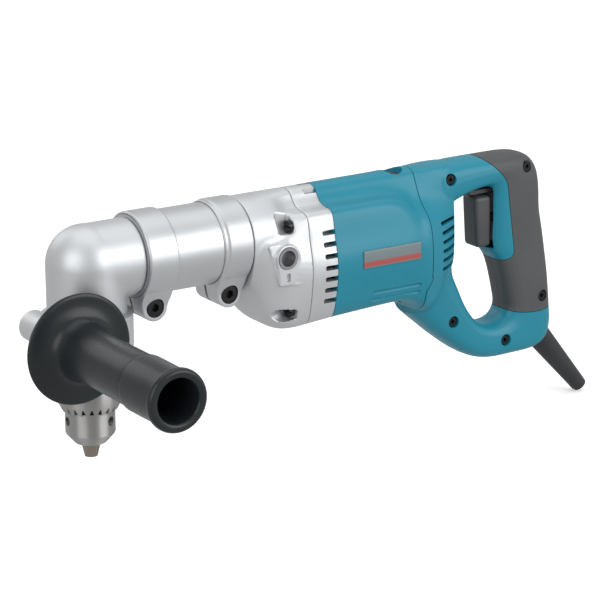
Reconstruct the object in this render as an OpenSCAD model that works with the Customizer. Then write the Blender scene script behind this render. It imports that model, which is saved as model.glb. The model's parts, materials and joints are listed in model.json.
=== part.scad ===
/* [Angle head] */
// Outer radius of the elbow's upright barrel and dome
head_r = 28.7; // [28.2:0.1:30]
// Outer radius of the elbow's neck
neck_r = 28.4; // [27.5:0.1:28.6]
// Length of the neck from the spindle axis to the pipe
neck_len = 34; // [33.5:0.5:38]
// Depth of the upright barrel below the tool axis
head_drop = 36; // [35:0.5:38]
// Radius of the gear chamber inside the barrel
chamber_r = 22; // [21.8:0.1:22.6]
// Height of the gear chamber above the tool axis
chamber_top = 9; // [8:0.5:9.5]
// Radius of the bearing box ring under the barrel
box_r = 33; // [32:0.5:36]
// Height of the bearing box ring
box_h = 24; // [23:0.5:27]
// Radius of the collar under the bearing box
collar_r = 24; // [22:0.5:26]
// Height of the collar under the bearing box
collar_h = 12; // [11:0.5:13]
// Length of the spindle in sight between the collar and the chuck
spindle_show = 10.9; // [9:0.1:14]

/* [Side handle] */
// Radius of the cross boss that takes the side handle
boss_r = 11.5; // [10.5:0.5:12.5]
// Half length of the cross boss
boss_half = 34.5; // [33:0.5:38]
// Distance of the cross boss axis in front of the spindle axis
boss_x = 26.8; // [26.5:0.1:28]
// Radius of the handle thread holes
handle_thread_r = 6; // [5:0.25:6]
// Depth of the handle thread holes
handle_thread_depth = 19; // [16:0.5:20]
// Radius of the hand guard disk
guard_r = 40.4; // [38:0.2:44]
// Thickness of the hand guard disk
guard_t = 3.6; // [3:0.2:5]
// Radius of the inner half of the grip barrel
barrel_r = 19.4; // [18:0.1:20.5]
// Radius of the outer half of the grip barrel
barrel_end_r = 20; // [18.5:0.1:21]
// Radius of the lip at the open end
barrel_lip_r = 22.4; // [21:0.1:24]
// Radius of the hollow in the grip
barrel_bore_r = 15.6; // [14:0.1:16]
// Length of the side handle from guard to lip
side_handle_len = 140; // [124:1:154]

/* [Chuck] */
// Radius of the chuck body
chuck_r = 18.2; // [18:0.1:18.6]
// Height of the jaw tips' reach out of the nose
jaw_reach = 11; // [10:0.5:13]
// Height of the chuck body from nose to back
chuck_h = 50; // [49:0.5:53]
// Outer radius of the toothed sleeve
sleeve_r = 23.3; // [22.8:0.1:25]
// Height of the toothed sleeve
sleeve_h = 20.5; // [20:0.5:22]
// Number of teeth on the sleeve
sleeve_teeth = 22; // [16:1:26]
// Radius of the round jaws
jaw_r = 4.8; // [4.6:0.1:5]
// Lean of the jaws against the chuck axis
jaw_lean = 16; // [15.5:0.5:16.5]
// Radius of the hole between the closed jaws
jaw_bore_r = 1; // [0.8:0.1:1.5]
// Radius of the chuck key holes
key_hole_r = 3.5; // [3:0.25:4]

/* [Pipe and clamps] */
// Outer radius of the connecting pipe
pipe_r = 30.2; // [29.8:0.1:31]
// Wall of the connecting pipe
pipe_wall = 4.3; // [4:0.1:4.8]
// Length of the connecting pipe
pipe_len = 87.4; // [84:0.2:100]
// Width of a clamp
clamp_w = 24; // [22:0.5:25]
// Thickness of a clamp band
clamp_t = 2.1; // [1.8:0.1:3]
// Radius of the clamp ears
ear_r = 10.2; // [9.5:0.1:11]
// Half width across both clamp ears
ear_half = 16; // [15:0.5:18]
// Radius of the clamp bolt shanks
bolt_r = 3; // [2.5:0.25:3.25]

/* [Gear housing] */
// Length of the front gear casting behind the clamp
casting_len = 45; // [44:0.5:48]
// Length of the vented rear casting
cover_len = 22; // [21.5:0.5:25]
// Half width of the castings at their rear
casting_w = 39.5; // [39:0.25:41]
// Depth of the gear casting's bottom below the tool axis
bottom_drop = 69; // [68.5:0.5:72]
// Depth of the motor's bottom below the tool axis
motor_depth = 64; // [63.5:0.5:66]
// Height of the top ridge above the tool axis
ridge_h = 32; // [31.5:0.25:33]
// Inward lean of the housing sides above and below their crest
side_lean = 6; // [3:0.25:6.5]
// Drop of the motor axis below the tool axis
motor_drop = 26; // [25.5:0.25:26.5]
// Number of vent slots on each side
vent_count = 7; // [4:1:7]
// Height of a vent slot
vent_h = 3; // [2:0.25:4]

/* [Motor] */
// Length of the motor housing
motor_len = 87; // [86:0.5:94]
// Half width of the motor housing
motor_w = 40; // [39.75:0.25:42]
// Radius of the bore that holds the field
field_r = 34.5; // [33.5:0.1:35]
// Length of the field and armature stacks
stack_len = 38; // [34:0.5:39]
// Radius of the armature core
core_r = 21; // [19:0.25:22]
// Radius of the commutator
commutator_r = 13; // [11:0.25:14]
// Radius of the cooling fan
fan_r = 31; // [26:0.5:32]
// Number of fan blades
fan_blades = 12; // [8:1:18]

/* [D handle] */
// Length of the handle from the motor seam to the heel
handle_len = 135; // [132:1:143]
// Height of the handle from top to bottom
handle_h = 164; // [160:1:170]
// Half thickness of the handle loop
handle_half = 17.5; // [17:0.25:19]
// Wall of the handle shells
handle_wall = 3; // [2.5:0.1:3.5]
// Travel of the trigger
trigger_travel = 6; // [4:0.5:6.5]
// Half width of the trigger
trigger_half = 9.5; // [8.5:0.25:10]
// Length of the cord guard outside the handle
cord_guard_len = 71; // [58:1:78]
// Radius of the cord guard at the handle
cord_guard_r = 10.2; // [9:0.2:11]
// Radius of the cord guard at its mouth
cord_mouth_r = 6.3; // [5.8:0.1:7]
// Radius of the cord bore
cord_bore_r = 4.2; // [3.5:0.1:4.6]

/* [Hidden] */
$fn = 64;

// Clearances
over = 1;
seat = 0.05;
run = 0.08;
part_gap = 0.3;
split_gap = 0.1;
bearing_balls = 7;
shell_facets = 20;
casting_facets = 32;
round_share = 1 / cos(180 / casting_facets);
ring_share = 0.28;

// Angle head
spigot_len = 24;
spigot_r = pipe_r - pipe_wall - run;
neck_end = neck_len + spigot_len;
upper_bearing_r = 9;
upper_bearing_h = 10;
pinion_bearing_r = 16;
pinion_bearing_h = 9;
pinion_bearing_x = 20.5;
pinion_rear_r = 12;
pinion_rear_h = 7;
pinion_rear_x = neck_end - pinion_rear_h - 1.5 * over;
pinion_shaft_r = 6;
pinion_bore_r = 9;
box_top = -head_drop - part_gap / 3;
box_bottom = box_top - box_h;
collar_bottom = box_bottom - collar_h;
lower_bearing_r = 17.5;
lower_bearing_h = 11;
lower_bearing_z = box_bottom - lower_bearing_h / 3;
retainer_h = 4;
retainer_bore_r = 12;
seal_h = 4;
seal_r = 13;
seal_z = lower_bearing_z - seal_h - over;
spindle_r = 7.5;
spindle_neck_r = 9;
spindle_top_r = 6;
box_screw_r = 2;
box_screw_head_r = 3.6;
box_screw_head_h = 4;
box_screw_ring = (chamber_r + head_r) / 2;
box_screw_depth = 10;
box_screw_count = 4;
boss_fall = 1.2;
boss_z = (box_top + box_bottom) / 2 - boss_fall;
boss_edge = 2.5;

// Side handle
stud_r = handle_thread_r - run;
stud_inner = boss_half - handle_thread_depth + over;
stud_reach = 32;
stud_outer = boss_half + stud_reach;
guard_y = boss_half + part_gap;
guard_fillet = 9;
barrel_step = 2 * side_handle_len / 3 - guard_fillet;
barrel_step_h = 1.5;
lip_h = 7;
lip_edge = 2;
barrel_bore_depth = side_handle_len / 2;

// Chuck, in heights above the jaw tips
chuck_back = jaw_reach + chuck_h;
axis_h = chuck_back + spindle_show - collar_bottom;
nose_r = 11.5;
nose_h = 8;
nose_flat_h = 1.2;
sleeve_z = jaw_reach + chuck_h / 2;
sleeve_bevel_h = 6.5;
sleeve_bevel_r = 3.4;
tooth_depth_share = 0.75;
tooth_width_share = 0.62;
nut_h = 5;
nut_z = sleeve_z + sleeve_h / 8;
sleeve_wall = 2.8;
nut_grip = 0.9;
nut_r = sleeve_r - sleeve_wall;
nut_bore_r = chuck_r - nut_grip;
groove_r = nut_bore_r - run;
jaw_len = nut_z + nut_h;
jaw_start_r = -0.2;
jaw_gap = 0.12;
jaw_first_angle = 117;
jaw_travel = 17;
jaw_trim_r = nut_bore_r - part_gap;
shank_bore_r = 5.2;
spindle_socket_r = 6.5;
spindle_socket_h = 16;
key_hole_share = 0.36;
key_hole_z = jaw_reach + key_hole_share * chuck_h;
key_hole_depth = 5;

// Pipe and clamps
pipe_x = neck_len + part_gap;
pipe_end = pipe_x + pipe_len;
slit_w = 2.6;
slit_len = clamp_w + 2 * over;
clamp_r = pipe_r + seat + clamp_t;
clamp_edge = 1;
front_clamp_x = pipe_x + over / 2;
rear_clamp_x = pipe_end - clamp_w - over / 2;
bolt_clear = 1.6;
bolt_z = -(clamp_r + bolt_r + bolt_clear);
bolt_head_r = 5;
bolt_head_h = 6;
bolt_seat_r = 6.6;
bolt_socket_r = 2.9;
bolt_socket_h = 3;
bolt_tip = 3;

// Gear housing
casting_x = pipe_end + part_gap;
casting_end = casting_x + casting_len;
cover_end = casting_end + cover_len;
nose_casting_r = 30.4;
nose_casting_len = 17;
nose_spigot_len = 24;
nose_bore_r = 12;
shoulder_z = 18;
shoulder_round = 7;
bottom_round = 9;
ridge_round = 13;
pocket_len = 9;
wall_x = casting_end + pocket_len;
pocket_wall = 12;
wall_t = 4;
vent_len = 11;
vent_top = 2.5;
vent_low = 15;
vent_pitch = (vent_top + motor_depth - vent_low) / (vent_count - 1);
vent_reach = 2 * casting_w;
top_vent_y = 8.5;
socket_offset = 24;
socket_x = casting_x + socket_offset;
socket_depth = 12;
socket_insert_r = 8;
socket_z = -10.7;
socket_boss_r = 10;
socket_boss_fall = 0.8;
socket_boss_y = casting_w - socket_boss_fall;
socket_boss_depth = 9;
socket_tail = 13;
socket_tail_r = 6.5;
vent_facets = 12;
socket_slot_w = 3;
socket_slot_h = 7;
socket_slot_depth = 2;
casting_screw_y = 28;
casting_screw_top = 10.5;
casting_screw_low = 54;
casting_screw_r = 2.5;
casting_screw_head_r = 4.3;
casting_screw_head_h = 4;
casting_screw_pocket_r = 5.2;
casting_screw_offset = 29;
casting_screw_x = casting_x + casting_screw_offset;
casting_screw_slot_w = 1.2;

// Gear train
pressure = 25;
addendum_share = 1;
dedendum_share = 1.25;
backlash = 0.16;
pinion_1_n = 11;
gear_1_n = 33;
module_1 = 0.8;
pinion_2_n = 12;
gear_2_n = 29;
module_2 = 1.25;
bevel_pinion_n = 12;
bevel_gear_n = 20;
bevel_module = 1.65;
bevel_face = 7.5;
centre_1 = (pinion_1_n + gear_1_n) * module_1 / 2;
centre_2 = (pinion_2_n + gear_2_n) * module_2 / 2;
counter_z = (pow(centre_1, 2) - pow(centre_2, 2) - pow(motor_drop, 2)) / (2 * motor_drop);
counter_y = sqrt(pow(centre_2, 2) - pow(counter_z, 2));
stage_2_offset = 20;
stage_2_x = casting_end - stage_2_offset;
stage_2_w = 12;
stage_gap = 5;
stage_1_x = stage_2_x + stage_2_w + stage_gap;
stage_1_w = 10;
counter_r = 4;
counter_bush_r = 6;
counter_bush_h = 7;
output_r = 7;
output_rear_r = 5;
output_tip_r = 5;
output_front_bearing_h = 11;
output_front_bearing_r = 16;
output_front_bearing_x = stage_2_x - 2 * over - output_front_bearing_h;
output_rear_bearing_r = 9.5;
output_rear_bearing_h = 7;
output_tip_len = 8;
output_tip_x = casting_x - nose_spigot_len - output_tip_len;
coupling_r = 10;
coupling_len = 24;
coupling_x = output_tip_x - coupling_len / 2;
armature_r = 5;
armature_bearing_r = 10;
armature_bearing_h = 9;

// Motor
motor_x = cover_end + split_gap;
motor_end = motor_x + motor_len;
fan_x = cover_end - 2 * over;
fan_w = 9;
fan_hub_r = 9;
fan_blade_t = 1.4;
fan_disk_t = 2;
fan_gap = 10;
stack_x = fan_x + fan_w + fan_gap;
stack_end = stack_x + stack_len;
winding_len = 8;
winding_step = 2.5;
winding_r = core_r - winding_step;
commutator_x = stack_end + winding_len + 2 * over;
commutator_len = 18;
brush_x = commutator_x + commutator_len / 2;
commutator_slot_w = 0.7;
commutator_bars = 20;
rear_bearing_x = commutator_x + commutator_len + 4 * over;
rear_bearing_r = 11;
rear_bearing_h = 8;
rear_journal_r = 4;
rear_wall_t = 3;
rear_cup_wall = 2.5;
air_gap = 0.6;
coil_w = 8;
coil_t = 5;
brush_w = 6;
brush_l = 9;
brush_h = 17;
holder_wall = 1;
holder_inset = 1.5;
cap_r = 7;
cap_h = 4;
cap_recess_r = 8.6;
cap_boss = 2.5;
cap_recess = 3;
cap_slot_w = 1.6;
wire_channel_r = 9;
wire_channel_z = 14;
plate_len = 52;
plate_h = 13.4;
plate_t = 0.6;
plate_offset = 22;
plate_x = motor_x + plate_offset;
plate_z = -22;

// D handle, with places as shares of its length and height
handle_x = motor_end + split_gap;
handle_rise = 1;
motor_rise = 0.5;
cover_fall = 3;
handle_top = ridge_h + handle_rise;
// inner and outer point of each section round the loop: length, height, length, height
loop_shares = [
    [0.285, 0.195, 0.222, 0], [0.415, 0.158, 0.526, 0], [0.526, 0.148, 0.726, 0.003],
    [0.548, 0.177, 0.826, 0.028], [0.548, 0.237, 0.881, 0.084], [0.548, 0.323, 0.901, 0.165],
    [0.544, 0.409, 0.91, 0.286], [0.544, 0.469, 0.933, 0.39], [0.581, 0.506, 0.959, 0.524],
    [0.626, 0.586, 0.979, 0.64], [0.667, 0.7, 0.994, 0.78], [0.678, 0.757, 1, 0.872],
    [0.652, 0.801, 0.974, 0.948], [0.604, 0.824, 0.889, 0.99], [0.548, 0.828, 0.719, 0.998],
    [0.493, 0.813, 0.533, 0.996], [0.433, 0.775, 0.393, 0.96], [0.374, 0.703, 0.252, 0.881],
    [0.326, 0.612, 0.096, 0.776], [0.293, 0.545, -0.037, 0.665], [0.278, 0.48, 0.044, 0.573],
    [0.27, 0.375, 0.074, 0.38], [0.267, 0.25, 0.119, 0.18]
];
loop_points = 20;
loop_round_share = 0.62;
// stations of the cover between the motor seam and the opening: length, width and bottom
cover_shares = [
    [0, 1, 1], [0.063, 0.975, 1], [0.126, 0.89, 1], [0.185, 0.74, 0.99], [0.23, 0.59, 0.96],
    [0.26, 0.46, 0.90]
];
// line between the shell and the soft grip: length, height
grip_line_shares = [
    [0.439, -0.1], [0.439, -0.02], [0.493, 0.003], [0.57, 0.055], [0.619, 0.099], [0.649, 0.14],
    [0.667, 0.244], [0.688, 0.384], [0.702, 0.469], [0.682, 0.5], [0.652, 0.509], [0.482, 0.484],
    [0.482, 0.739], [0.597, 0.744], [0.735, 0.78], [0.877, 0.793], [0.976, 0.786], [1.25, 0.77],
    [1.25, -0.1]
];
// places of the handle screws: length, height
handle_screw_shares = [
    [0.233, 0.073], [0.776, 0.07], [0.258, 0.765], [0.636, 0.909], [0.902, 0.723]
];
handle_screw_r = 2;
handle_screw_boss_r = 4.6;
handle_screw_hole_r = 4.2;
handle_screw_head_r = 3.6;
handle_screw_head_h = 3;
handle_screw_sink = 5;
handle_vents = 6;
handle_vent_h = 2.6;
handle_vent_pitch = 7;
handle_vent_top = -7;
handle_vent_offset = 13;
handle_vent_x = handle_x + handle_vent_offset;
handle_vent_len = 18;
handle_vent_depth = 14;
trigger_x_share = 0.444;
trigger_x = handle_x + trigger_x_share * handle_len;
trigger_depth = 16;
trigger_top_share = 0.1936;
trigger_top = handle_top - trigger_top_share * handle_h;
trigger_h = 41;
trigger_round = 5;
trigger_dish_r = 60;
trigger_dish = 1.6;
stem_r = 4;
stem_len = 12;
switch_x = trigger_x + trigger_depth + trigger_travel + 2 * over;
switch_len = 26;
switch_half = 10;
switch_h = 38;
slot_gap = 0.4;
lever_t = 3;
lever_gap = 1.6;
lever_z = trigger_top + lever_gap;
lever_len = 31;
lever_half = 5;
lever_pin_r = 2.5;
lever_pin_h = 6;
lever_x = switch_x + 2 * lever_pin_r;
switch_rib_t = 3;
guard_root_shares = [0.945, 0.932];
guard_lean = 139;
guard_root_len = 15;
guard_flange_r = 11.6;
guard_flange_h = 3;
guard_sleeve = 3;
mouth_slot_w = 2.4;
mouth_slot_len = 9;
clamp_bar_w = 8;
clamp_bar_h = 5;
clamp_bar_half = 12;
clamp_bar_shares = [0.739, 0.884];
clamp_bar_x = handle_x + clamp_bar_shares[0] * handle_len;
clamp_bar_z = handle_top - clamp_bar_shares[1] * handle_h;

// Frames: the tool axis, a section across it and a profile beside it
module lift() { translate([0, 0, axis_h]) children(); }
module across(x) { translate([x, 0, 0]) rotate([90, 0, 90]) children(); }
module beside(y0, y1) { translate([0, y1, 0]) rotate([90, 0, 0]) linear_extrude(y1 - y0) children(); }

module rod_x(x0, x1, r) { translate([x0, 0, 0]) rotate([0, 90, 0]) cylinder(h = x1 - x0, r = r); }
module rod_y(y0, y1, r) { translate([0, y0, 0]) rotate([-90, 0, 0]) cylinder(h = y1 - y0, r = r); }
module rod_z(z0, z1, r) { translate([0, 0, z0]) cylinder(h = z1 - z0, r = r); }
module slab(low, high) { translate(low) cube(high - low); }
module tube_x(x0, x1, r, bore) {
    difference() {
        rod_x(x0, x1, r);
        rod_x(x0 - over, x1 + over, bore);
    }
}

// Ball bearing: two rings and their balls, along Z from zero
module ball_bearing(r, bore, h) {
    ring = (r - bore) * ring_share;
    ball = (r - bore) / 2 - ring - seat;
    middle = (r + bore) / 2;
    difference() {
        rod_z(0, h, r);
        rod_z(-over, h + over, r - ring);
    }
    difference() {
        rod_z(0, h, bore + ring);
        rod_z(-over, h + over, bore);
    }
    for (i = [0 : bearing_balls - 1]) rotate(i * 360 / bearing_balls) translate([middle, 0, h / 2])
        sphere(ball);
}
module bearing_x(x, r, bore, h) { translate([x, 0, 0]) rotate([0, 90, 0]) ball_bearing(r, bore, h); }

// Involute gear outlines
function involute(a) = tan(a) * 180 / PI - a;
function half_angle(n, m, r, play) =
    90 / n - play / (m * n) * 180 / PI + involute(pressure) - involute(acos(min(1,
        m * n * cos(pressure) / 2 / r)));
function flank(n, m, play) =
    let (base = m * n * cos(pressure) / 2)
    let (root = m * n / 2 - m * dedendum_share)
    let (tip = m * n / 2 + m * addendum_share)
    let (low = max(base, root))
    concat(
        base > root ? [[root, half_angle(n, m, base, play)]] : [],
        [for (k = [0 : 4]) let (r = low + (tip - low) * k / 4) [r, half_angle(n, m, r, play)]]
    );
function gear_outline(n, rows) = [
    for (i = [0 : n - 1]) each concat(
        [for (k = [0 : len(rows) - 1]) rows[k][0] * [cos(i * 360 / n - rows[k][1]),
            sin(i * 360 / n - rows[k][1])]],
        [for (k = [len(rows) - 1 : -1 : 0])
            rows[k][0] * [cos(i * 360 / n + rows[k][1]), sin(i * 360 / n + rows[k][1])]]
    )
];
module spur_x(x, w, n, m, turn) {
    across(x) rotate(turn) linear_extrude(w) polygon(gear_outline(n, flank(n, m, backlash)));
}

// Straight bevel gear, large end at its pitch plane and teeth running to the apex at the origin
function bevel_rows(n, mate) =
    let (cone = atan(n / mate))
    let (reach = bevel_module * mate / 2)
    let (virtual = n / cos(cone))
    [for (k = [0 : 4])
        let (t = bevel_module * (-dedendum_share + (dedendum_share + addendum_share) * k / 4))
        let (rv = bevel_module * virtual / 2 + t)
        let (r = bevel_module * n / 2 + t * cos(cone))
        [r * reach / (reach - t * sin(cone)), half_angle(virtual, bevel_module, rv, 1.5 * backlash) * rv / r]];
module bevel(n, mate, turn) {
    reach = bevel_module * mate / 2;
    height = bevel_face * cos(atan(n / mate));
    translate([0, 0, -reach]) rotate(turn)
        linear_extrude(height, scale = (reach - height) / reach) polygon(gear_outline(n, bevel_rows(n, mate)));
}

// Loft through rings of points, with flat ends or closed on itself
module loft(rings, closed = false) {
    n = len(rings[0]);
    m = len(rings);
    sides = [for (i = [0 : m - (closed ? 1 : 2)], j = [0 : n - 1], half = [0, 1])
        let (a = i * n + j, b = i * n + (j + 1) % n)
        let (c = (i + 1) % m * n + j, d = (i + 1) % m * n + (j + 1) % n)
        half == 0 ? [a, b, c] : [b, d, c]];
    ends = closed ? [] : [[for (j = [n - 1 : -1 : 0]) j], [for (j = [0 : n - 1]) (m - 1) * n + j]];
    polyhedron(points = [for (ring = rings) each ring], faces = concat(sides, ends));
}

// Half of a housing section: ridge, shoulder, leaning side with its crest at w, and bottom corner
function half_section(w, top, ridge, shoulder, lean, bottom) =
    let (edge = w - lean)
    concat(
        [for (a = [0 : 25 : 75]) [ridge * sin(a), top - ridge * (1 - cos(a))]],
        [for (a = [0 : 30 : 90]) [edge - shoulder_round * (1 - sin(a)),
            shoulder - shoulder_round * (1 - cos(a))]],
        [for (t = [0.2 : 0.2 : 0.8])
            [edge + lean * sin(180 * t), (1 - t) * (shoulder - shoulder_round) - t * (bottom - bottom_round)]],
        [for (a = [90 : -30 : 0]) [edge - bottom_round * (1 - sin(a)), -bottom + bottom_round * (1 - cos(a))]]
    );
function section(x, w, top, ridge, shoulder, lean, bottom) =
    let (half = half_section(w, top, ridge, shoulder, lean, bottom))
    concat(
        [for (p = half) [x, p[0], p[1]]],
        [for (k = [len(half) - 1 : -1 : 1]) [x, -half[k][0], half[k][1]]]
    );
function motor_section(x, w, top, bottom, inset) =
    section(x, w - inset, top - inset, ridge_round, shoulder_z - inset, side_lean * w / motor_w,
        bottom - inset);

// Front casting stations: length, width, ridge, bottom and shoulder as shares
casting_shares = [
    [0.00, 0.72, 1.75, 0.52, 0.35], [0.16, 0.76, 1.60, 0.72, 0.52], [0.34, 0.83, 1.40, 0.92, 0.70],
    [0.56, 0.92, 1.18, 1.01, 0.93], [0.78, 0.98, 1.04, 1.01, 1.00], [1.00, 1.00, 1.00, 0.99, 1.00]
];
casting_bottom = casting_shares[len(casting_shares) - 1][3] * bottom_drop;
module front_casting_form() {
    start = casting_x + over;
    loft([for (s = casting_shares) section(start + s[0] * (casting_end - start), s[1] * casting_w, ridge_h,
        s[2] * ridge_round, s[4] * shoulder_z, side_lean * s[1], s[3] * bottom_drop)]);
}
module rear_casting_form() {
    loft([
        section(casting_end + split_gap, casting_w, ridge_h, ridge_round, shoulder_z, side_lean,
            casting_bottom),
        section(cover_end, motor_w, ridge_h, ridge_round, shoulder_z, side_lean,
            (casting_bottom + motor_depth) / 2)
    ]);
}

// Upright barrel, dome and neck of the right angle head
module head_form() {
    rotate_extrude() polygon(concat(
        [[0, -head_drop], [head_r, -head_drop]],
        [for (a = [0 : 5 : 90]) head_r * [cos(a), sin(a)]]
    ));
    rod_x(0, neck_len, neck_r);
    rod_x(neck_len - over, neck_end, spigot_r);
}
module box_screw_places() {
    for (i = [0 : box_screw_count - 1])
        rotate(45 + i * 360 / box_screw_count) translate([box_screw_ring, 0, 0]) children();
}
module angle_head() {
    color("silver") lift() difference() {
        head_form();
        rod_z(-head_drop - over, chamber_top, chamber_r);
        rod_z(chamber_top - over, chamber_top + upper_bearing_h, upper_bearing_r + seat);
        rod_x(0, pinion_bearing_x + pinion_bearing_h, pinion_bearing_r + seat);
        rod_x(0, neck_end + over, pinion_bore_r);
        rod_x(pinion_rear_x, neck_end + over, pinion_rear_r + seat);
        box_screw_places() rod_z(-head_drop - over, -head_drop + box_screw_depth + over, box_screw_r + seat);
    }
}
module bearing_box() {
    color("silver") lift() difference() {
        union() {
            rod_z(box_bottom, box_top, box_r);
            rod_z(collar_bottom, box_bottom + over, collar_r);
            translate([-boss_x, 0, boss_z]) {
                rod_y(-boss_half, boss_half - boss_edge, boss_r);
                translate([0, boss_half - boss_edge, 0]) rotate([-90, 0, 0])
                    cylinder(h = boss_edge, r1 = boss_r, r2 = boss_r - boss_edge);
            }
        }
        rod_z(lower_bearing_z, box_top + over, lower_bearing_r + seat);
        rod_z(seal_z, lower_bearing_z + over, seal_r + seat);
        rod_z(collar_bottom - over, box_top, spindle_neck_r + part_gap);
        translate([-boss_x, 0, boss_z]) {
            rod_y(-boss_half - over, handle_thread_depth - boss_half, handle_thread_r);
            rod_y(boss_half - handle_thread_depth, boss_half + over, handle_thread_r);
        }
        box_screw_places() {
            rod_z(box_bottom - over, box_top + over, box_screw_r + seat);
            rod_z(box_bottom - over, box_bottom + box_screw_head_h, box_screw_head_r + seat);
        }
    }
}
module bearing_box_screws() {
    color("dimgray") lift() box_screw_places() difference() {
        union() {
            rod_z(box_bottom + seat, box_bottom + box_screw_head_h - seat, box_screw_head_r);
            rod_z(box_bottom + box_screw_head_h - over, -head_drop + box_screw_depth, box_screw_r);
        }
        translate([0, 0, box_bottom - over])
            cylinder(h = box_screw_head_h / 2 + over, r = box_screw_r, $fn = 6);
    }
}
module spindle_upper_bearing() {
    color("lightsteelblue") lift() translate([0, 0, chamber_top])
        ball_bearing(upper_bearing_r, spindle_top_r + run, upper_bearing_h - over);
}
module spindle_lower_bearing() {
    color("lightsteelblue") lift() translate([0, 0, lower_bearing_z])
        ball_bearing(lower_bearing_r, spindle_r + run, lower_bearing_h);
}
module bearing_retainer() {
    color("gray") lift() difference() {
        rod_z(lower_bearing_z + lower_bearing_h + seat, lower_bearing_z + lower_bearing_h + retainer_h,
            lower_bearing_r);
        rod_z(box_bottom, box_top, retainer_bore_r);
    }
}
module spindle_seal() {
    color("black") lift() difference() {
        rod_z(seal_z, seal_z + seal_h, seal_r);
        rod_z(seal_z - over, seal_z + seal_h + over, spindle_neck_r + run);
    }
}
bevel_reach = bevel_module * bevel_pinion_n / 2;
bevel_hub_r = 11;
bevel_hub_h = 9;
module spindle() {
    color("silver") lift() {
        rod_z(chuck_back - spindle_socket_h + over - axis_h, chuck_back - axis_h + over,
            spindle_socket_r - seat);
        rod_z(chuck_back - axis_h + seat, lower_bearing_z - over / 2, spindle_neck_r);
        rod_z(lower_bearing_z - over, -bevel_reach, spindle_r);
        rod_z(-bevel_reach - over, chamber_top + upper_bearing_h - over, spindle_top_r);
    }
}
module bevel_gear() {
    color("dimgray") lift() difference() {
        union() {
            bevel(bevel_gear_n, bevel_pinion_n, 0);
            rod_z(-bevel_reach - bevel_hub_h, -bevel_reach, bevel_hub_r);
        }
        rod_z(-bevel_reach - bevel_hub_h - over, -bevel_reach + seat, spindle_r + seat);
        rod_z(-bevel_reach - over, over, spindle_top_r + seat);
    }
}
module bevel_pinion_shaft() {
    color("dimgray") lift() difference() {
        union() {
            rotate([0, -90, 0]) bevel(bevel_pinion_n, bevel_gear_n, 180 / bevel_pinion_n);
            rod_x(bevel_module * bevel_gear_n / 2 - over, coupling_x + coupling_len / 2 - over, pinion_shaft_r);
        }
    }
}
module pinion_front_bearing() {
    color("lightsteelblue") lift() bearing_x(pinion_bearing_x, pinion_bearing_r, pinion_shaft_r + run,
        pinion_bearing_h);
}
module pinion_rear_bearing() {
    color("lightsteelblue") lift() bearing_x(pinion_rear_x, pinion_rear_r, pinion_shaft_r + run, pinion_rear_h);
}
module shaft_coupling() {
    color("gray") lift() difference() {
        rod_x(coupling_x, coupling_x + coupling_len, coupling_r);
        rod_x(coupling_x - over, coupling_x + coupling_len / 2, pinion_shaft_r + seat);
        rod_x(coupling_x + coupling_len / 2 - over, coupling_x + coupling_len + over, output_tip_r + run);
    }
}

// Chuck
module jaw_frame(i, slide = 0) {
    rotate(jaw_first_angle + i * 120) translate([jaw_start_r, 0, 0]) rotate([0, jaw_lean, 0])
        translate([0, 0, slide]) children();
}
module chuck_body() {
    color("silver") difference() {
        rotate_extrude() polygon([
            [0, jaw_reach], [nose_r, jaw_reach], [nose_r + nose_flat_h, jaw_reach + nose_flat_h],
            [chuck_r - nose_flat_h / 2, jaw_reach + nose_h - nose_flat_h], [chuck_r, jaw_reach + nose_h],
            [chuck_r, nut_z], [groove_r, nut_z], [groove_r, nut_z + nut_h + part_gap],
            [chuck_r, nut_z + nut_h + part_gap], [chuck_r, chuck_back - over], [chuck_r - over, chuck_back],
            [0, chuck_back]
        ]);
        rod_z(jaw_reach - over, chuck_back + over, shank_bore_r);
        rod_z(chuck_back - spindle_socket_h, chuck_back + over, spindle_socket_r);
        for (i = [0 : 2]) {
            jaw_frame(i) rod_z(0, 2 * chuck_back, jaw_r + run);
            rotate(jaw_first_angle + 60 + i * 120) translate([chuck_r - key_hole_depth, 0, key_hole_z])
                rotate([0, 90, 0]) cylinder(h = key_hole_depth + over, r = key_hole_r);
        }
    }
}
sleeve_tooth_w = 2 * PI * chuck_r / sleeve_teeth * tooth_width_share;
module chuck_sleeve() {
    color("silver") difference() {
        rotate_extrude() polygon([
            [chuck_r + run, sleeve_z], [sleeve_r - sleeve_bevel_r, sleeve_z],
            [sleeve_r, sleeve_z + sleeve_bevel_h], [sleeve_r, sleeve_z + sleeve_h - over],
            [sleeve_r - over, sleeve_z + sleeve_h], [nut_r, sleeve_z + sleeve_h], [nut_r, nut_z],
            [chuck_r + run, nut_z]
        ]);
        for (i = [0 : sleeve_teeth - 1]) rotate(i * 360 / sleeve_teeth) translate([chuck_r - over, 0, sleeve_z])
            rotate([90, 0, 90]) linear_extrude(sleeve_r) polygon([
                [-sleeve_tooth_w / 2, -over], [sleeve_tooth_w / 2, -over],
                [0, sleeve_bevel_h * tooth_depth_share]
            ]);
    }
}
module chuck_nut() {
    color("gray") difference() {
        union() {
            rod_z(nut_z + seat, nut_z + nut_h, nut_r - seat);
            rod_z(nut_z + nut_h - over, sleeve_z + sleeve_h - over, nut_r - seat);
        }
        rod_z(nut_z - over, nut_z + nut_h + over, nut_bore_r);
        rod_z(nut_z + nut_h, sleeve_z + sleeve_h + over, chuck_r + run);
    }
}
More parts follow.
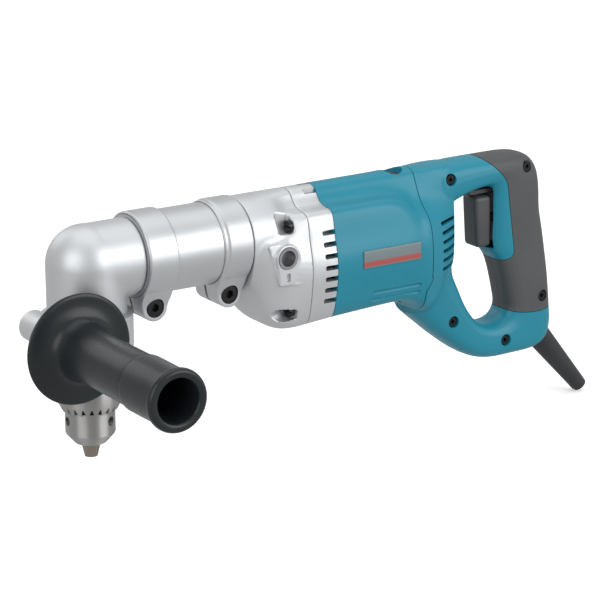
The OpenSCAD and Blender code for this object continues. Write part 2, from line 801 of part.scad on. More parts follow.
module chuck_jaw(i) {
    color("darkgray") difference() {
        intersection() {
            jaw_frame(i) rod_z(-jaw_r, jaw_len * 2, jaw_r);
            rod_z(0, jaw_len, chuck_back);
            rotate(jaw_first_angle + i * 120) translate([-jaw_travel * sin(jaw_lean), 0, 0])
                rod_z(0, jaw_len, jaw_trim_r);
            rotate(jaw_first_angle + i * 120) linear_extrude(jaw_len) translate([jaw_gap, 0, 0])
                polygon([[0, 0], chuck_back * [cos(60), -sin(60)], [chuck_back, 0],
                    chuck_back * [cos(60), sin(60)]]);
        }
        rod_z(-over, jaw_len + over, jaw_bore_r);
    }
}
module chuck_jaw_1() { chuck_jaw(0); }
module chuck_jaw_2() { chuck_jaw(1); }
module chuck_jaw_3() { chuck_jaw(2); }

// Side handle, revolved about its own axis and laid along the cross boss
module along_boss() {
    lift() translate([-boss_x, 0, boss_z]) rotate([90, 0, 0]) children();
}
module side_handle_grip() {
    body_y = guard_y + guard_t;
    tip_y = guard_y + side_handle_len;
    fillet = [for (a = [0 : 15 : 90])
        [barrel_r + guard_fillet * (1 - sin(a)), body_y + guard_fillet * (1 - cos(a))]];
    color("darkslategray") along_boss() difference() {
        rotate_extrude() polygon(concat(
            [[0, guard_y], [guard_r - guard_t / 2, guard_y], [guard_r, guard_y + guard_t / 3],
                [guard_r, guard_y + 2 * guard_t / 3], [guard_r - guard_t / 3, body_y]],
            fillet,
            [[barrel_r, guard_y + barrel_step - barrel_step_h], [barrel_end_r, guard_y + barrel_step],
                [barrel_end_r, tip_y - lip_h], [barrel_lip_r, tip_y - lip_h + lip_edge],
                [barrel_lip_r, tip_y - lip_edge], [barrel_lip_r - lip_edge, tip_y], [0, tip_y]]
        ));
        rod_z(tip_y - barrel_bore_depth, tip_y + over, barrel_bore_r);
        rod_z(guard_y - over, stud_outer + seat, stud_r + seat);
    }
}
module side_handle_stud() {
    color("silver") along_boss() rod_z(stud_inner, stud_outer, stud_r);
}

// Pipe and clamps
module slit(x0, x1) {
    slab([x0, -slit_w / 2, -2 * clamp_r], [x1, slit_w / 2, -pipe_r / 2]);
}
module connecting_pipe() {
    color("gainsboro") lift() difference() {
        tube_x(pipe_x, pipe_end, pipe_r, pipe_r - pipe_wall);
        slit(pipe_x - over, pipe_x + slit_len);
        slit(pipe_end - slit_len, pipe_end + over);
    }
}
module clamp(x) {
    bolt_x = x + clamp_w / 2;
    difference() {
        union() {
            across(x) rotate_extrude() polygon([
                [pipe_r - over, 0], [clamp_r - clamp_edge, 0], [clamp_r, clamp_edge],
                [clamp_r, clamp_w - clamp_edge], [clamp_r - clamp_edge, clamp_w], [pipe_r - over, clamp_w]
            ]);
            translate([bolt_x, 0, bolt_z]) rod_y(-ear_half, ear_half, ear_r);
            slab([bolt_x - ear_r, -ear_half, bolt_z], [bolt_x + ear_r, ear_half, -pipe_r / 2]);
        }
        rod_x(x - over, x + clamp_w + over, pipe_r + seat);
        slit(x - over, x + clamp_w + over);
        translate([bolt_x, 0, bolt_z]) {
            rod_y(-ear_half - over, ear_half + over, bolt_r + seat);
            rod_y(-ear_half - over, bolt_head_h - ear_half, bolt_seat_r);
        }
    }
}
module front_clamp() { color("gainsboro") lift() clamp(front_clamp_x); }
module rear_clamp() { color("gainsboro") lift() clamp(rear_clamp_x); }
module clamp_bolts() {
    color("dimgray") lift() for (x = [front_clamp_x, rear_clamp_x])
        translate([x + clamp_w / 2, 0, bolt_z]) difference() {
            union() {
                rod_y(-ear_half, bolt_head_h - ear_half - seat, bolt_head_r);
                rod_y(bolt_head_h - ear_half - over, ear_half - bolt_tip, bolt_r);
            }
            translate([0, -ear_half - over, 0]) rotate([-90, 0, 0])
                cylinder(h = bolt_socket_h + over, r = bolt_socket_r, $fn = 6);
        }
}

// Gear housing
module casting_screw_places() {
    for (side = [-1, 1], z = [casting_screw_top, -casting_screw_low])
        translate([0, side * casting_screw_y, z]) children();
}
module handle_socket(side) {
    translate([socket_x, 0, socket_z]) rotate([side * -90, 0, 0])
        translate([0, 0, socket_boss_y - socket_boss_depth]) children();
}
module gear_pockets(x0, x1) {
    translate([0, 0, -motor_drop]) rod_x(max(x0, stage_2_x - over), x1, casting_w - pocket_wall);
    rod_x(max(x0, stage_2_x - over), x1, gear_2_n * module_2 / 2 + 2 * module_2);
    translate([0, counter_y, counter_z])
        rod_x(max(x0, stage_1_x - over), x1, gear_1_n * module_1 / 2 + 2 * module_1);
}
module gear_housing() {
    $fn = casting_facets;
    color("silver") lift() difference() {
        union() {
            front_casting_form();
            rod_x(casting_x, casting_x + nose_casting_len, nose_casting_r, $fn = 2 * casting_facets);
            rod_x(casting_x - nose_spigot_len, casting_x + over, spigot_r);
            for (side = [-1, 1]) handle_socket(side) hull() {
                cylinder(h = socket_boss_depth, r = socket_boss_r);
                translate([0, side * socket_tail, 0]) cylinder(h = socket_boss_depth - over, r = socket_tail_r);
            }
        }
        gear_pockets(casting_x, casting_end + over);
        rod_x(output_front_bearing_x, casting_end, round_share * (output_front_bearing_r + seat));
        rod_x(casting_x - nose_spigot_len - over, casting_end, nose_bore_r);
        translate([0, counter_y, counter_z])
            rod_x(stage_2_x - over - counter_bush_h, casting_end, round_share * (counter_bush_r + seat));
        for (side = [-1, 1]) handle_socket(side) {
            translate([0, 0, socket_boss_depth - socket_depth - seat])
                cylinder(h = socket_depth + over, r = round_share * (socket_insert_r + seat));
            hull() for (y = [socket_boss_r, socket_boss_r + socket_slot_h - socket_slot_w])
                translate([0, side * y, socket_boss_depth - socket_slot_depth])
                    cylinder(h = socket_slot_depth + over, r = socket_slot_w / 2, $fn = vent_facets);
        }
        casting_screw_places() rod_x(casting_screw_x, casting_end + over, casting_screw_r + 2 * seat,
            $fn = vent_facets);
        for (side = [-1, 1], z = [casting_screw_top, -casting_screw_low])
            hull() for (y = [casting_screw_y, casting_screw_y + casting_screw_pocket_r])
                translate([0, side * y, z])
                rod_x(casting_x - over, casting_screw_x + casting_screw_head_h, casting_screw_pocket_r);
    }
}
module handle_socket_inserts() {
    color("gray") lift() for (side = [-1, 1]) handle_socket(side)
        translate([0, 0, socket_boss_depth - socket_depth]) difference() {
            cylinder(h = socket_depth, r = socket_insert_r);
            translate([0, 0, -over]) cylinder(h = socket_depth + 2 * over, r = handle_thread_r);
        }
}
module gear_cover() {
    $fn = casting_facets;
    color("silver") lift() difference() {
        rear_casting_form();
        gear_pockets(casting_end, wall_x);
        translate([0, 0, -motor_drop]) {
            rod_x(wall_x + wall_t + armature_bearing_h / 2, cover_end + over, fan_r + 2 * over);
            rod_x(wall_x - over, wall_x + armature_bearing_h, round_share * (armature_bearing_r + seat));
            rod_x(wall_x - over, cover_end + over, armature_r + 2 * over);
        }
        rod_x(wall_x - over, wall_x + output_rear_bearing_h, round_share * (output_rear_bearing_r + seat));
        translate([0, counter_y, counter_z])
            rod_x(wall_x - over, wall_x + counter_bush_h, round_share * (counter_bush_r + seat));
        casting_screw_places() rod_x(casting_end - over, cover_end - over, casting_screw_r + 2 * seat,
            $fn = vent_facets);
        for (i = [0 : vent_count - 1]) let (z = vent_top - i * vent_pitch)
            for (side = [0, 1]) hull() for (x = [cover_end - vent_len + vent_h / 2, cover_end + vent_h])
                mirror([0, side, 0]) translate([x, 0, z])
                    rod_y(motor_w - 3 * shoulder_round / 2, vent_reach, vent_h / 2, $fn = vent_facets);
        for (y = [-top_vent_y, 0, top_vent_y])
            slab([cover_end - vent_len, y - vent_h / 2, shoulder_z + vent_h],
                [cover_end + over, y + vent_h / 2, ridge_h + over]);
    }
}
module gear_housing_screws() {
    color("dimgray") lift() casting_screw_places() difference() {
        union() {
            rod_x(casting_screw_x + seat, casting_screw_x + casting_screw_head_h, casting_screw_head_r);
            rod_x(casting_screw_x + casting_screw_head_h - over, cover_end - 2 * over, casting_screw_r);
        }
        slab([casting_screw_x - over, -casting_screw_head_r - over, -casting_screw_slot_w / 2],
            [casting_screw_x + casting_screw_head_h / 3, casting_screw_head_r + over,
                casting_screw_slot_w / 2]);
    }
}

// Gear train
counter_angle = atan2(counter_z, counter_y);
motor_angle = atan2(counter_z + motor_drop, counter_y);
counter_turn_2 = counter_angle + 180;
counter_turn_1 = motor_angle + 180 + 180 / gear_1_n;
output_turn = counter_angle + 180 / gear_2_n;
module output_shaft() {
    color("lightgray") lift() {
        rod_x(output_tip_x, output_front_bearing_x, output_tip_r);
        rod_x(output_front_bearing_x - over, stage_2_x + stage_2_w, output_r);
        rod_x(stage_2_x + stage_2_w - over, wall_x + output_rear_bearing_h - over, output_rear_r);
    }
}
module output_gear() {
    color("gray") lift() difference() {
        spur_x(stage_2_x, stage_2_w - over, gear_2_n, module_2, output_turn);
        rod_x(stage_2_x - over, stage_2_x + stage_2_w, output_r + seat);
    }
}
module output_front_bearing() {
    color("lightsteelblue") lift()
        bearing_x(output_front_bearing_x, output_front_bearing_r, output_r + run, output_front_bearing_h);
}
module output_rear_bearing() {
    color("lightsteelblue") lift() bearing_x(wall_x, output_rear_bearing_r, output_rear_r + run,
        output_rear_bearing_h);
}
module countershaft() {
    color("lightgray") lift() translate([0, counter_y, counter_z]) {
        rod_x(stage_2_x - counter_bush_h, wall_x + counter_bush_h - over, counter_r);
        spur_x(stage_2_x, stage_2_w, pinion_2_n, module_2, counter_turn_2);
    }
}
module countershaft_gear() {
    color("gray") lift() translate([0, counter_y, counter_z]) difference() {
        spur_x(stage_1_x, stage_1_w, gear_1_n, module_1, counter_turn_1);
        rod_x(stage_1_x - over, stage_1_x + stage_1_w + over, counter_r + seat);
    }
}
module countershaft_bushes() {
    color("goldenrod") lift() translate([0, counter_y, counter_z]) {
        tube_x(stage_2_x - over - counter_bush_h, stage_2_x - over, counter_bush_r, counter_r + run);
        tube_x(wall_x, wall_x + counter_bush_h, counter_bush_r, counter_r + run);
    }
}

// Motor
module on_motor() { lift() translate([0, 0, -motor_drop]) children(); }
module armature_shaft() {
    color("lightgray") on_motor() {
        spur_x(stage_1_x - over, stage_1_w + 2 * over, pinion_1_n, module_1, motor_angle);
        rod_x(stage_1_x + stage_1_w, rear_bearing_x, armature_r);
        rod_x(rear_bearing_x - over, rear_bearing_x + rear_bearing_h, rear_journal_r);
    }
}
module armature_core() {
    slots = 12;
    color("peru") on_motor() {
        difference() {
            rod_x(stack_x, stack_end, core_r);
            rod_x(stack_x - over, stack_end + over, armature_r + seat);
            for (i = [0 : slots - 1]) rotate([i * 360 / slots, 0, 0])
                slab([stack_x - over, -slit_w / 4, core_r - winding_len / 2],
                    [stack_end + over, slit_w / 4, core_r + over]);
        }
        for (x = [stack_x - winding_len, stack_end]) difference() {
            rod_x(x, x + winding_len, winding_r);
            rod_x(x - over, x + winding_len + over, armature_r + seat);
        }
    }
}
module commutator() {
    color("darkorange") on_motor() difference() {
        rod_x(commutator_x, commutator_x + commutator_len, commutator_r);
        rod_x(commutator_x - over, commutator_x + commutator_len + over, armature_r + seat);
        for (i = [0 : commutator_bars - 1]) rotate([i * 360 / commutator_bars, 0, 0])
            slab([commutator_x - over, -commutator_slot_w / 2, commutator_r - over],
                [commutator_x + commutator_len + over, commutator_slot_w / 2, commutator_r + over]);
    }
}
module cooling_fan() {
    color("dimgray") on_motor() difference() {
        union() {
            rod_x(fan_x, fan_x + fan_w, fan_hub_r);
            rod_x(fan_x + fan_w - fan_disk_t, fan_x + fan_w, fan_r);
            for (i = [0 : fan_blades - 1]) rotate([i * 360 / fan_blades, 0, 0])
                slab([fan_x, -fan_blade_t / 2, fan_hub_r - over],
                    [fan_x + fan_w - fan_disk_t / 2, fan_blade_t / 2, fan_r - over]);
        }
        rod_x(fan_x - over, fan_x + fan_w + over, armature_r + seat);
    }
}
module armature_front_bearing() {
    color("lightsteelblue") on_motor()
        bearing_x(wall_x, armature_bearing_r, armature_r + run, armature_bearing_h);
}
module armature_rear_bearing() {
    color("lightsteelblue") on_motor()
        bearing_x(rear_bearing_x, rear_bearing_r, rear_journal_r + run, rear_bearing_h);
}
module field_core() {
    color("slategray") on_motor() difference() {
        rod_x(stack_x, stack_end, field_r);
        rod_x(stack_x - over, stack_end + over, core_r + air_gap);
        for (side = [0, 180]) rotate([side, 0, 0])
            slab([stack_x - over, core_r - 2 * over, -coil_w],
                [stack_end + over, core_r + coil_t + over, coil_w]);
    }
}
module field_coils() {
    color("chocolate") on_motor() for (x = [stack_x - coil_w, stack_end]) difference() {
        rod_x(x, x + coil_w, field_r - 2 * over);
        rod_x(x - over, x + coil_w + over, core_r + air_gap);
        slab([x - over, -field_r, -coil_w / 2], [x + coil_w + over, field_r, coil_w / 2]);
    }
}
module brush_stack(low, high, grow) {
    slab([brush_x - brush_l / 2 - grow, -brush_w / 2 - grow, low],
        [brush_x + brush_l / 2 + grow, brush_w / 2 + grow, high]);
}
holder_low = commutator_r + holder_inset;
holder_top = motor_drop + ridge_h - cap_recess - cap_h;
holder_base = motor_depth - motor_drop - cap_recess - cap_h;
module both_brushes() {
    children(0);
    mirror([0, 0, 1]) children(1);
}
module brush_holders() {
    color("goldenrod") on_motor() both_brushes() {
        difference() {
            brush_stack(holder_low, holder_top, holder_wall);
            brush_stack(0, holder_top + over, 0);
        }
        difference() {
            brush_stack(holder_low, holder_base, holder_wall);
            brush_stack(0, holder_base + over, 0);
        }
    }
}
module carbon_brushes() {
    color("black") on_motor() for (side = [0, 1]) mirror([0, 0, side]) difference() {
        brush_stack(commutator_r - over, commutator_r + brush_h, -seat);
        rod_x(commutator_x, commutator_x + commutator_len, commutator_r + run);
    }
}
module brush_cap(z) {
    difference() {
        translate([brush_x, 0, 0]) rod_z(z + seat, z + cap_h, cap_r);
        slab([brush_x - cap_r - over, -cap_slot_w / 2, z + cap_h - over],
            [brush_x + cap_r + over, cap_slot_w / 2, z + cap_h + over]);
    }
}
module brush_caps() {
    color("black") on_motor() both_brushes() {
        brush_cap(holder_top);
        brush_cap(holder_base);
    }
}
// Stations of the motor housing: length, and how far its bottom still runs down to the casting's
motor_shares = [[0, 0.5], [0.2, 0.16], [0.4, 0], [1, 0]];
module motor_housing() {
    color("teal") lift() difference() {
        union() {
            difference() {
                loft([for (s = motor_shares) motor_section(motor_x + s[0] * motor_len, motor_w,
                    handle_top - (1 - s[0]) * motor_rise,
                        motor_depth + s[1] * (casting_bottom - motor_depth), 0)]);
                translate([0, 0, -motor_drop]) rod_x(motor_x - over, motor_end - rear_wall_t, field_r + seat);
                translate([0, 0, wire_channel_z]) rod_x(motor_x - over, motor_end + over, wire_channel_r);
            }
            translate([0, 0, -motor_drop]) rod_x(motor_end - over, rear_bearing_x + rear_bearing_h,
                rear_bearing_r + rear_cup_wall);
            for (side = [0, 1]) translate([brush_x, 0, -motor_drop]) mirror([0, 0, side])
                rod_z(commutator_r + brush_h, (side == 0 ? holder_top : holder_base) + cap_h, cap_r + cap_boss);
        }
        translate([0, 0, -motor_drop]) {
            rod_x(rear_bearing_x - over, rear_bearing_x + rear_bearing_h + over, rear_bearing_r + seat);
            rod_x(motor_end - 2 * rear_wall_t, rear_bearing_x, armature_r + 2 * over);
            both_brushes() {
                brush_stack(0, holder_top + over, holder_wall + seat);
                brush_stack(0, holder_base + over, holder_wall + seat);
            }
            both_brushes() {
                translate([brush_x, 0, 0]) {
                    rod_z(holder_top, holder_top + cap_h + over, cap_r + seat);
                    rod_z(holder_top + cap_h, holder_top + 2 * cap_h + cap_recess, cap_recess_r);
                }
                translate([brush_x, 0, 0]) {
                    rod_z(holder_base, holder_base + cap_h + over, cap_r + seat);
                    rod_z(holder_base + cap_h, holder_base + 2 * cap_h + cap_recess, cap_recess_r);
                }
            }
        }
    }
}
module name_plate() {
    y = motor_w + seat;
    color("dimgray") lift() slab([plate_x, -y - plate_t, plate_z - plate_h / 2],
        [plate_x + plate_len, -y, plate_z + plate_h / 2]);
}

// D handle
function handle_point(s) = [handle_x + s[0] * handle_len, handle_top - s[1] * handle_h];
function signed_power(v, p) = sign(v) * pow(abs(v), p);
function loop_ring(s, inset) =
    let (inner = handle_point([s[0], s[1]]), outer = handle_point([s[2], s[3]]))
    let (span = norm(outer - inner), dir = (outer - inner) / span, middle = (inner + outer) / 2)
    [for (k = [0 : loop_points - 1])
        let (a = 360 * k / loop_points)
        let (p = middle + dir * (span / 2 - inset) * signed_power(cos(a), loop_round_share))
        [p[0], (handle_half - inset) * signed_power(sin(a), loop_round_share), p[1]]];
module handle_loop(inset) {
    loft([for (s = loop_shares) loop_ring(s, inset)], closed = true);
}
module handle_cover(inset) {
    loft([for (s = cover_shares)
        motor_section(handle_x + s[0] * handle_len - (s[0] > 0 ? s[0] : over / handle_wall) * inset,
        s[1] * motor_w, handle_top - s[0] * cover_fall, s[2] * motor_depth, inset)]);
}
module grip_region(inset) {
    beside(-2 * motor_w, 2 * motor_w) offset(delta = -inset)
        polygon([for (s = grip_line_shares) handle_point(s)]);
}
module handle_screw_places() {
    for (s = handle_screw_shares) translate([handle_point(s)[0], 0, handle_point(s)[1]]) children();
}
module guard_frame() {
    root = handle_point(guard_root_shares);
    translate([root[0], 0, root[1]]) rotate([0, guard_lean, 0]) children();
}
// Ribs beside the switch, the cord clamp's seat and the sleeve round the cord guard
module shell_seats() {
    for (side = [0, 1], x = [switch_x + switch_rib_t, switch_x + switch_len - 2 * switch_rib_t])
        mirror([0, side, 0])
        slab([x, switch_half + seat, trigger_top - trigger_h], [x + switch_rib_t, handle_half, trigger_top]);
    slab([clamp_bar_x - clamp_bar_w / 2, -clamp_bar_half, handle_top - handle_h],
        [clamp_bar_x + clamp_bar_w / 2, clamp_bar_half, clamp_bar_z - clamp_bar_h / 2 - seat]);
    guard_frame() rod_z(-guard_root_len, guard_root_len, guard_flange_r + guard_sleeve);
}
module handle_shell() {
    $fn = shell_facets;
    difference() {
        union() {
            handle_loop(0);
            handle_cover(0);
        }
        difference() {
            union() {
                handle_loop(handle_wall);
                handle_cover(handle_wall);
            }
            handle_screw_places() rod_y(-handle_half, handle_half, handle_screw_boss_r);
            shell_seats();
        }
        handle_screw_places() {
            rod_y(-2 * motor_w, 2 * motor_w, handle_screw_r + seat);
            rod_y(-2 * motor_w, handle_screw_sink - handle_half, handle_screw_hole_r);
        }
        slab([trigger_x + trigger_depth / 2, -trigger_half - slot_gap, trigger_top - trigger_h - slot_gap],
            [switch_x, trigger_half + slot_gap, lever_z + lever_t + slot_gap]);
        guard_frame() rod_z(-2 * guard_root_len, guard_root_len,
            (cord_guard_r + seat) / cos(180 / shell_facets));
        for (i = [0 : handle_vents - 1]) let (z = handle_vent_top - i * handle_vent_pitch)
            for (side = [-1, 1]) hull() for (x = [0, handle_vent_len])
                translate([handle_vent_x + x, 0, z]) mirror([0, side < 0 ? 1 : 0, 0])
                    rod_y(handle_vent_depth, 2 * motor_w, handle_vent_h / 2);
    }
}
module half_space(side) {
    mirror([0, side < 0 ? 1 : 0, 0])
        slab([0, split_gap / 2, -2 * handle_h], [2 * handle_x, 2 * motor_w, handle_h]);
}
module shell_half(side) {
    lift() difference() {
        intersection() {
            handle_shell();
            half_space(side);
        }
        grip_region(0);
    }
}
module grip_half(side) {
    lift() intersection() {
        handle_shell();
        half_space(side);
        grip_region(split_gap);
    }
}
module handle_left() { color("teal") shell_half(-1); }
module handle_right() { color("teal") shell_half(1); }
module grip_left() { color("dimgray") grip_half(-1); }
module grip_right() { color("dimgray") grip_half(1); }
module handle_screws() {
    color("black") lift() handle_screw_places() difference() {
        union() {
            rod_y(handle_screw_sink - handle_half - handle_screw_head_h,
                handle_screw_sink - handle_half - seat, handle_screw_head_r);
            rod_y(handle_screw_sink - handle_half - over, handle_half - handle_wall, handle_screw_r);
        }
        translate([0, handle_screw_sink - handle_half - 2 * handle_screw_head_h, 0]) rotate([-90, 0, 0])
            cylinder(h = handle_screw_head_h * 1.6, r = handle_screw_r, $fn = 4);
    }
}
module switch_body() {
    z = trigger_top - trigger_h / 2;
    color("black") lift() difference() {
        slab([switch_x, -switch_half, z - switch_h / 2],
            [switch_x + switch_len, switch_half, z + switch_h / 2]);
        translate([0, 0, z]) rod_x(switch_x - over, switch_x + trigger_travel + over + stem_len, stem_r + run);
        translate([lever_x, 0, z + switch_h / 2]) rod_z(-lever_pin_h, over, lever_pin_r + run);
    }
}
module trigger() {
    z = trigger_top - trigger_h / 2;
    x1 = trigger_x + trigger_depth;
    color("dimgray") lift() {
        difference() {
            beside(-trigger_half, trigger_half) polygon(concat(
                [for (a = [90 : 15 : 180]) [trigger_x + trigger_round * (1 + cos(a)),
                    trigger_top - trigger_round * (1 - sin(a))]],
                [for (a = [180 : 15 : 270]) [trigger_x + trigger_round * (1 + cos(a)),
                    trigger_top - trigger_h + trigger_round * (1 + sin(a))]],
                [[x1, trigger_top - trigger_h], [x1, trigger_top]]
            ));
            translate([trigger_x + trigger_dish - trigger_dish_r, 0, z])
                rod_y(-2 * trigger_half, 2 * trigger_half, trigger_dish_r);
        }
        translate([0, 0, z]) rod_x(x1 - over, switch_x + stem_len / 2, stem_r);
    }
}
module reversing_lever() {
    pin_low = trigger_top - trigger_h / 2 + switch_h / 2 - lever_pin_h + over;
    color("dimgray") lift() translate([lever_x, 0, 0]) {
        translate([0, 0, lever_z]) linear_extrude(lever_t) polygon([
            [-lever_len, -lever_half], [-lever_len, lever_half], [0, 2 * lever_pin_r],
                [2 * lever_pin_r, lever_pin_r],
            [2 * lever_pin_r, -lever_pin_r], [0, -2 * lever_pin_r]
        ]);
        rod_z(pin_low, lever_z + over, lever_pin_r);
    }
}
module cord_guard() {
    color("black") lift() guard_frame() difference() {
        union() {
            rod_z(-guard_root_len - guard_flange_h, 0, cord_guard_r);
            cylinder(h = cord_guard_len, r1 = cord_guard_r, r2 = cord_mouth_r);
            rod_z(-guard_root_len - guard_flange_h, -guard_root_len - seat, guard_flange_r);
        }
        rod_z(-2 * guard_root_len, cord_guard_len + over, cord_bore_r);
        slab([-2 * cord_mouth_r, -mouth_slot_w / 2, cord_guard_len - mouth_slot_len],
            [2 * cord_mouth_r, mouth_slot_w / 2, cord_guard_len + over]);
    }
}
module cord_clamp() {
    color("black") lift() slab([clamp_bar_x - clamp_bar_w / 2, -clamp_bar_half, clamp_bar_z - clamp_bar_h / 2],
        [clamp_bar_x + clamp_bar_w / 2, clamp_bar_half, clamp_bar_z + clamp_bar_h / 2]);
}

angle_head();
bearing_box();
bearing_box_screws();
spindle();
spindle_upper_bearing();
spindle_lower_bearing();
bearing_retainer();
spindle_seal();
bevel_gear();
bevel_pinion_shaft();
pinion_front_bearing();
pinion_rear_bearing();
shaft_coupling();
chuck_body();
chuck_sleeve();
chuck_nut();
chuck_jaw_1();
chuck_jaw_2();
chuck_jaw_3();
side_handle_grip();
side_handle_stud();
connecting_pipe();
front_clamp();
rear_clamp();
clamp_bolts();
gear_housing();
gear_cover();
handle_socket_inserts();
gear_housing_screws();
output_shaft();
output_gear();
output_front_bearing();
output_rear_bearing();
countershaft();
countershaft_gear();
countershaft_bushes();
armature_shaft();
armature_core();
commutator();
cooling_fan();
armature_front_bearing();
armature_rear_bearing();
field_core();
field_coils();
brush_holders();
carbon_brushes();
brush_caps();
motor_housing();
name_plate();
handle_left();
handle_right();
grip_left();
grip_right();
handle_screws();
switch_body();
trigger();
reversing_lever();
cord_guard();
cord_clamp();
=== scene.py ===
import bpy
import bmesh
import json
import math
from mathutils import Matrix, Vector


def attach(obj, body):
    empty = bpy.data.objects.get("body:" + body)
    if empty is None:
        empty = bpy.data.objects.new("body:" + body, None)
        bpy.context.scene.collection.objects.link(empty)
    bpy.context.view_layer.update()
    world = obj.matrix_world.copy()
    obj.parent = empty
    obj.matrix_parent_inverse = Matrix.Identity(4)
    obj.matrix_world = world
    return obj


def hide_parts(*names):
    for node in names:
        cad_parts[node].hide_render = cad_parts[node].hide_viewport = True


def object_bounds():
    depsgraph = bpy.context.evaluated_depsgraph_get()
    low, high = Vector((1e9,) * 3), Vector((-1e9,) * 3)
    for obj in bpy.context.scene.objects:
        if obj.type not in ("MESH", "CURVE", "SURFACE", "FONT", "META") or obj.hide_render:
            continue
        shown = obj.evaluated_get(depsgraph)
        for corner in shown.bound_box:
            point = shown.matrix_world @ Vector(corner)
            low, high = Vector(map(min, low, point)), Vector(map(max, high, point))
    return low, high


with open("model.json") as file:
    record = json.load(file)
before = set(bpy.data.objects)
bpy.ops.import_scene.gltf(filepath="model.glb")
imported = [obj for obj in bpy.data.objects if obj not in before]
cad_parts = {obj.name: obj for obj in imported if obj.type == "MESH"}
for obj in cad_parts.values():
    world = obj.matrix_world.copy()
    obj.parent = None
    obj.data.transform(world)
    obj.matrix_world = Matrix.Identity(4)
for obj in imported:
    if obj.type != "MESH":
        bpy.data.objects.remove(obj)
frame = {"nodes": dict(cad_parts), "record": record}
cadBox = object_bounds()
nodes = frame["nodes"]
print("frame loaded:", len(nodes), "solids")


# shader helpers: a wire is one socket, a finish is one material
class Wire:
    def __init__(self, finish, socket):
        self.finish = finish
        self.socket = socket

    def join(self, operation, first, second):
        return self.finish.node("ShaderNodeMath", {"operation": operation}, {0: first, 1: second})

    def __add__(self, other):
        return self.join("ADD", self, other)

    def __radd__(self, other):
        return self.join("ADD", other, self)

    def __sub__(self, other):
        return self.join("SUBTRACT", self, other)

    def __rsub__(self, other):
        return self.join("SUBTRACT", other, self)

    def __mul__(self, other):
        return self.join("MULTIPLY", self, other)

    def __rmul__(self, other):
        return self.join("MULTIPLY", other, self)

    def __gt__(self, other):
        return self.join("GREATER_THAN", self, other)

    def __lt__(self, other):
        return self.join("LESS_THAN", self, other)


class Finish:
    def __init__(self, name, fixed):
        self.material = bpy.data.materials.new(name)
        self.material.use_nodes = True
        self.tree = self.material.node_tree
        self.shader = self.tree.nodes["Principled BSDF"]
        for socketName, value in fixed.items():
            self.shader.inputs[socketName].default_value = value

    def feed(self, socket, value):
        if isinstance(value, Wire):
            self.tree.links.new(value.socket, socket)
        else:
            socket.default_value = value

    def node(self, kind, settings, sockets, out=0):
        added = self.tree.nodes.new(kind)
        for key, value in settings.items():
            setattr(added, key, value)
        for key, value in sockets.items():
            self.feed(added.inputs[key], value)
        return Wire(self, added.outputs[out])

    def place(self):
        return self.node("ShaderNodeTexCoord", {}, {}, "Object")

    def axis(self, name):
        return self.node("ShaderNodeSeparateXYZ", {}, {0: self.place()}, name)

    def noise(self, scale, detail=2.0, stretch=None):
        where = self.place()
        if stretch:
            where = self.node("ShaderNodeMapping", {}, {"Vector": where, "Scale": stretch})
        sockets = {"Vector": where, "Scale": scale, "Detail": detail}
        return self.node("ShaderNodeTexNoise", {}, sockets, "Fac")

    def cells(self, size):
        sockets = {"Vector": self.place(), "Scale": 1.0 / size}
        return self.node("ShaderNodeTexVoronoi", {}, sockets, "Distance")

    def blend(self, share, first, second):
        sockets = {0: share, 6: first, 7: second}  # 6, 7 and output 2 are the Mix node's colours
        return self.node("ShaderNodeMix", {"data_type": "RGBA"}, sockets, 2)

    def drive(self, socketName, value):
        self.feed(self.shader.inputs[socketName], value)

    def bump(self, height):
        sockets = {"Height": height, "Distance": 1.0, "Strength": 1.0}
        self.drive("Normal", self.node("ShaderNodeBump", {}, sockets))


def color(r, g, b):
    return (r, g, b, 1.0)


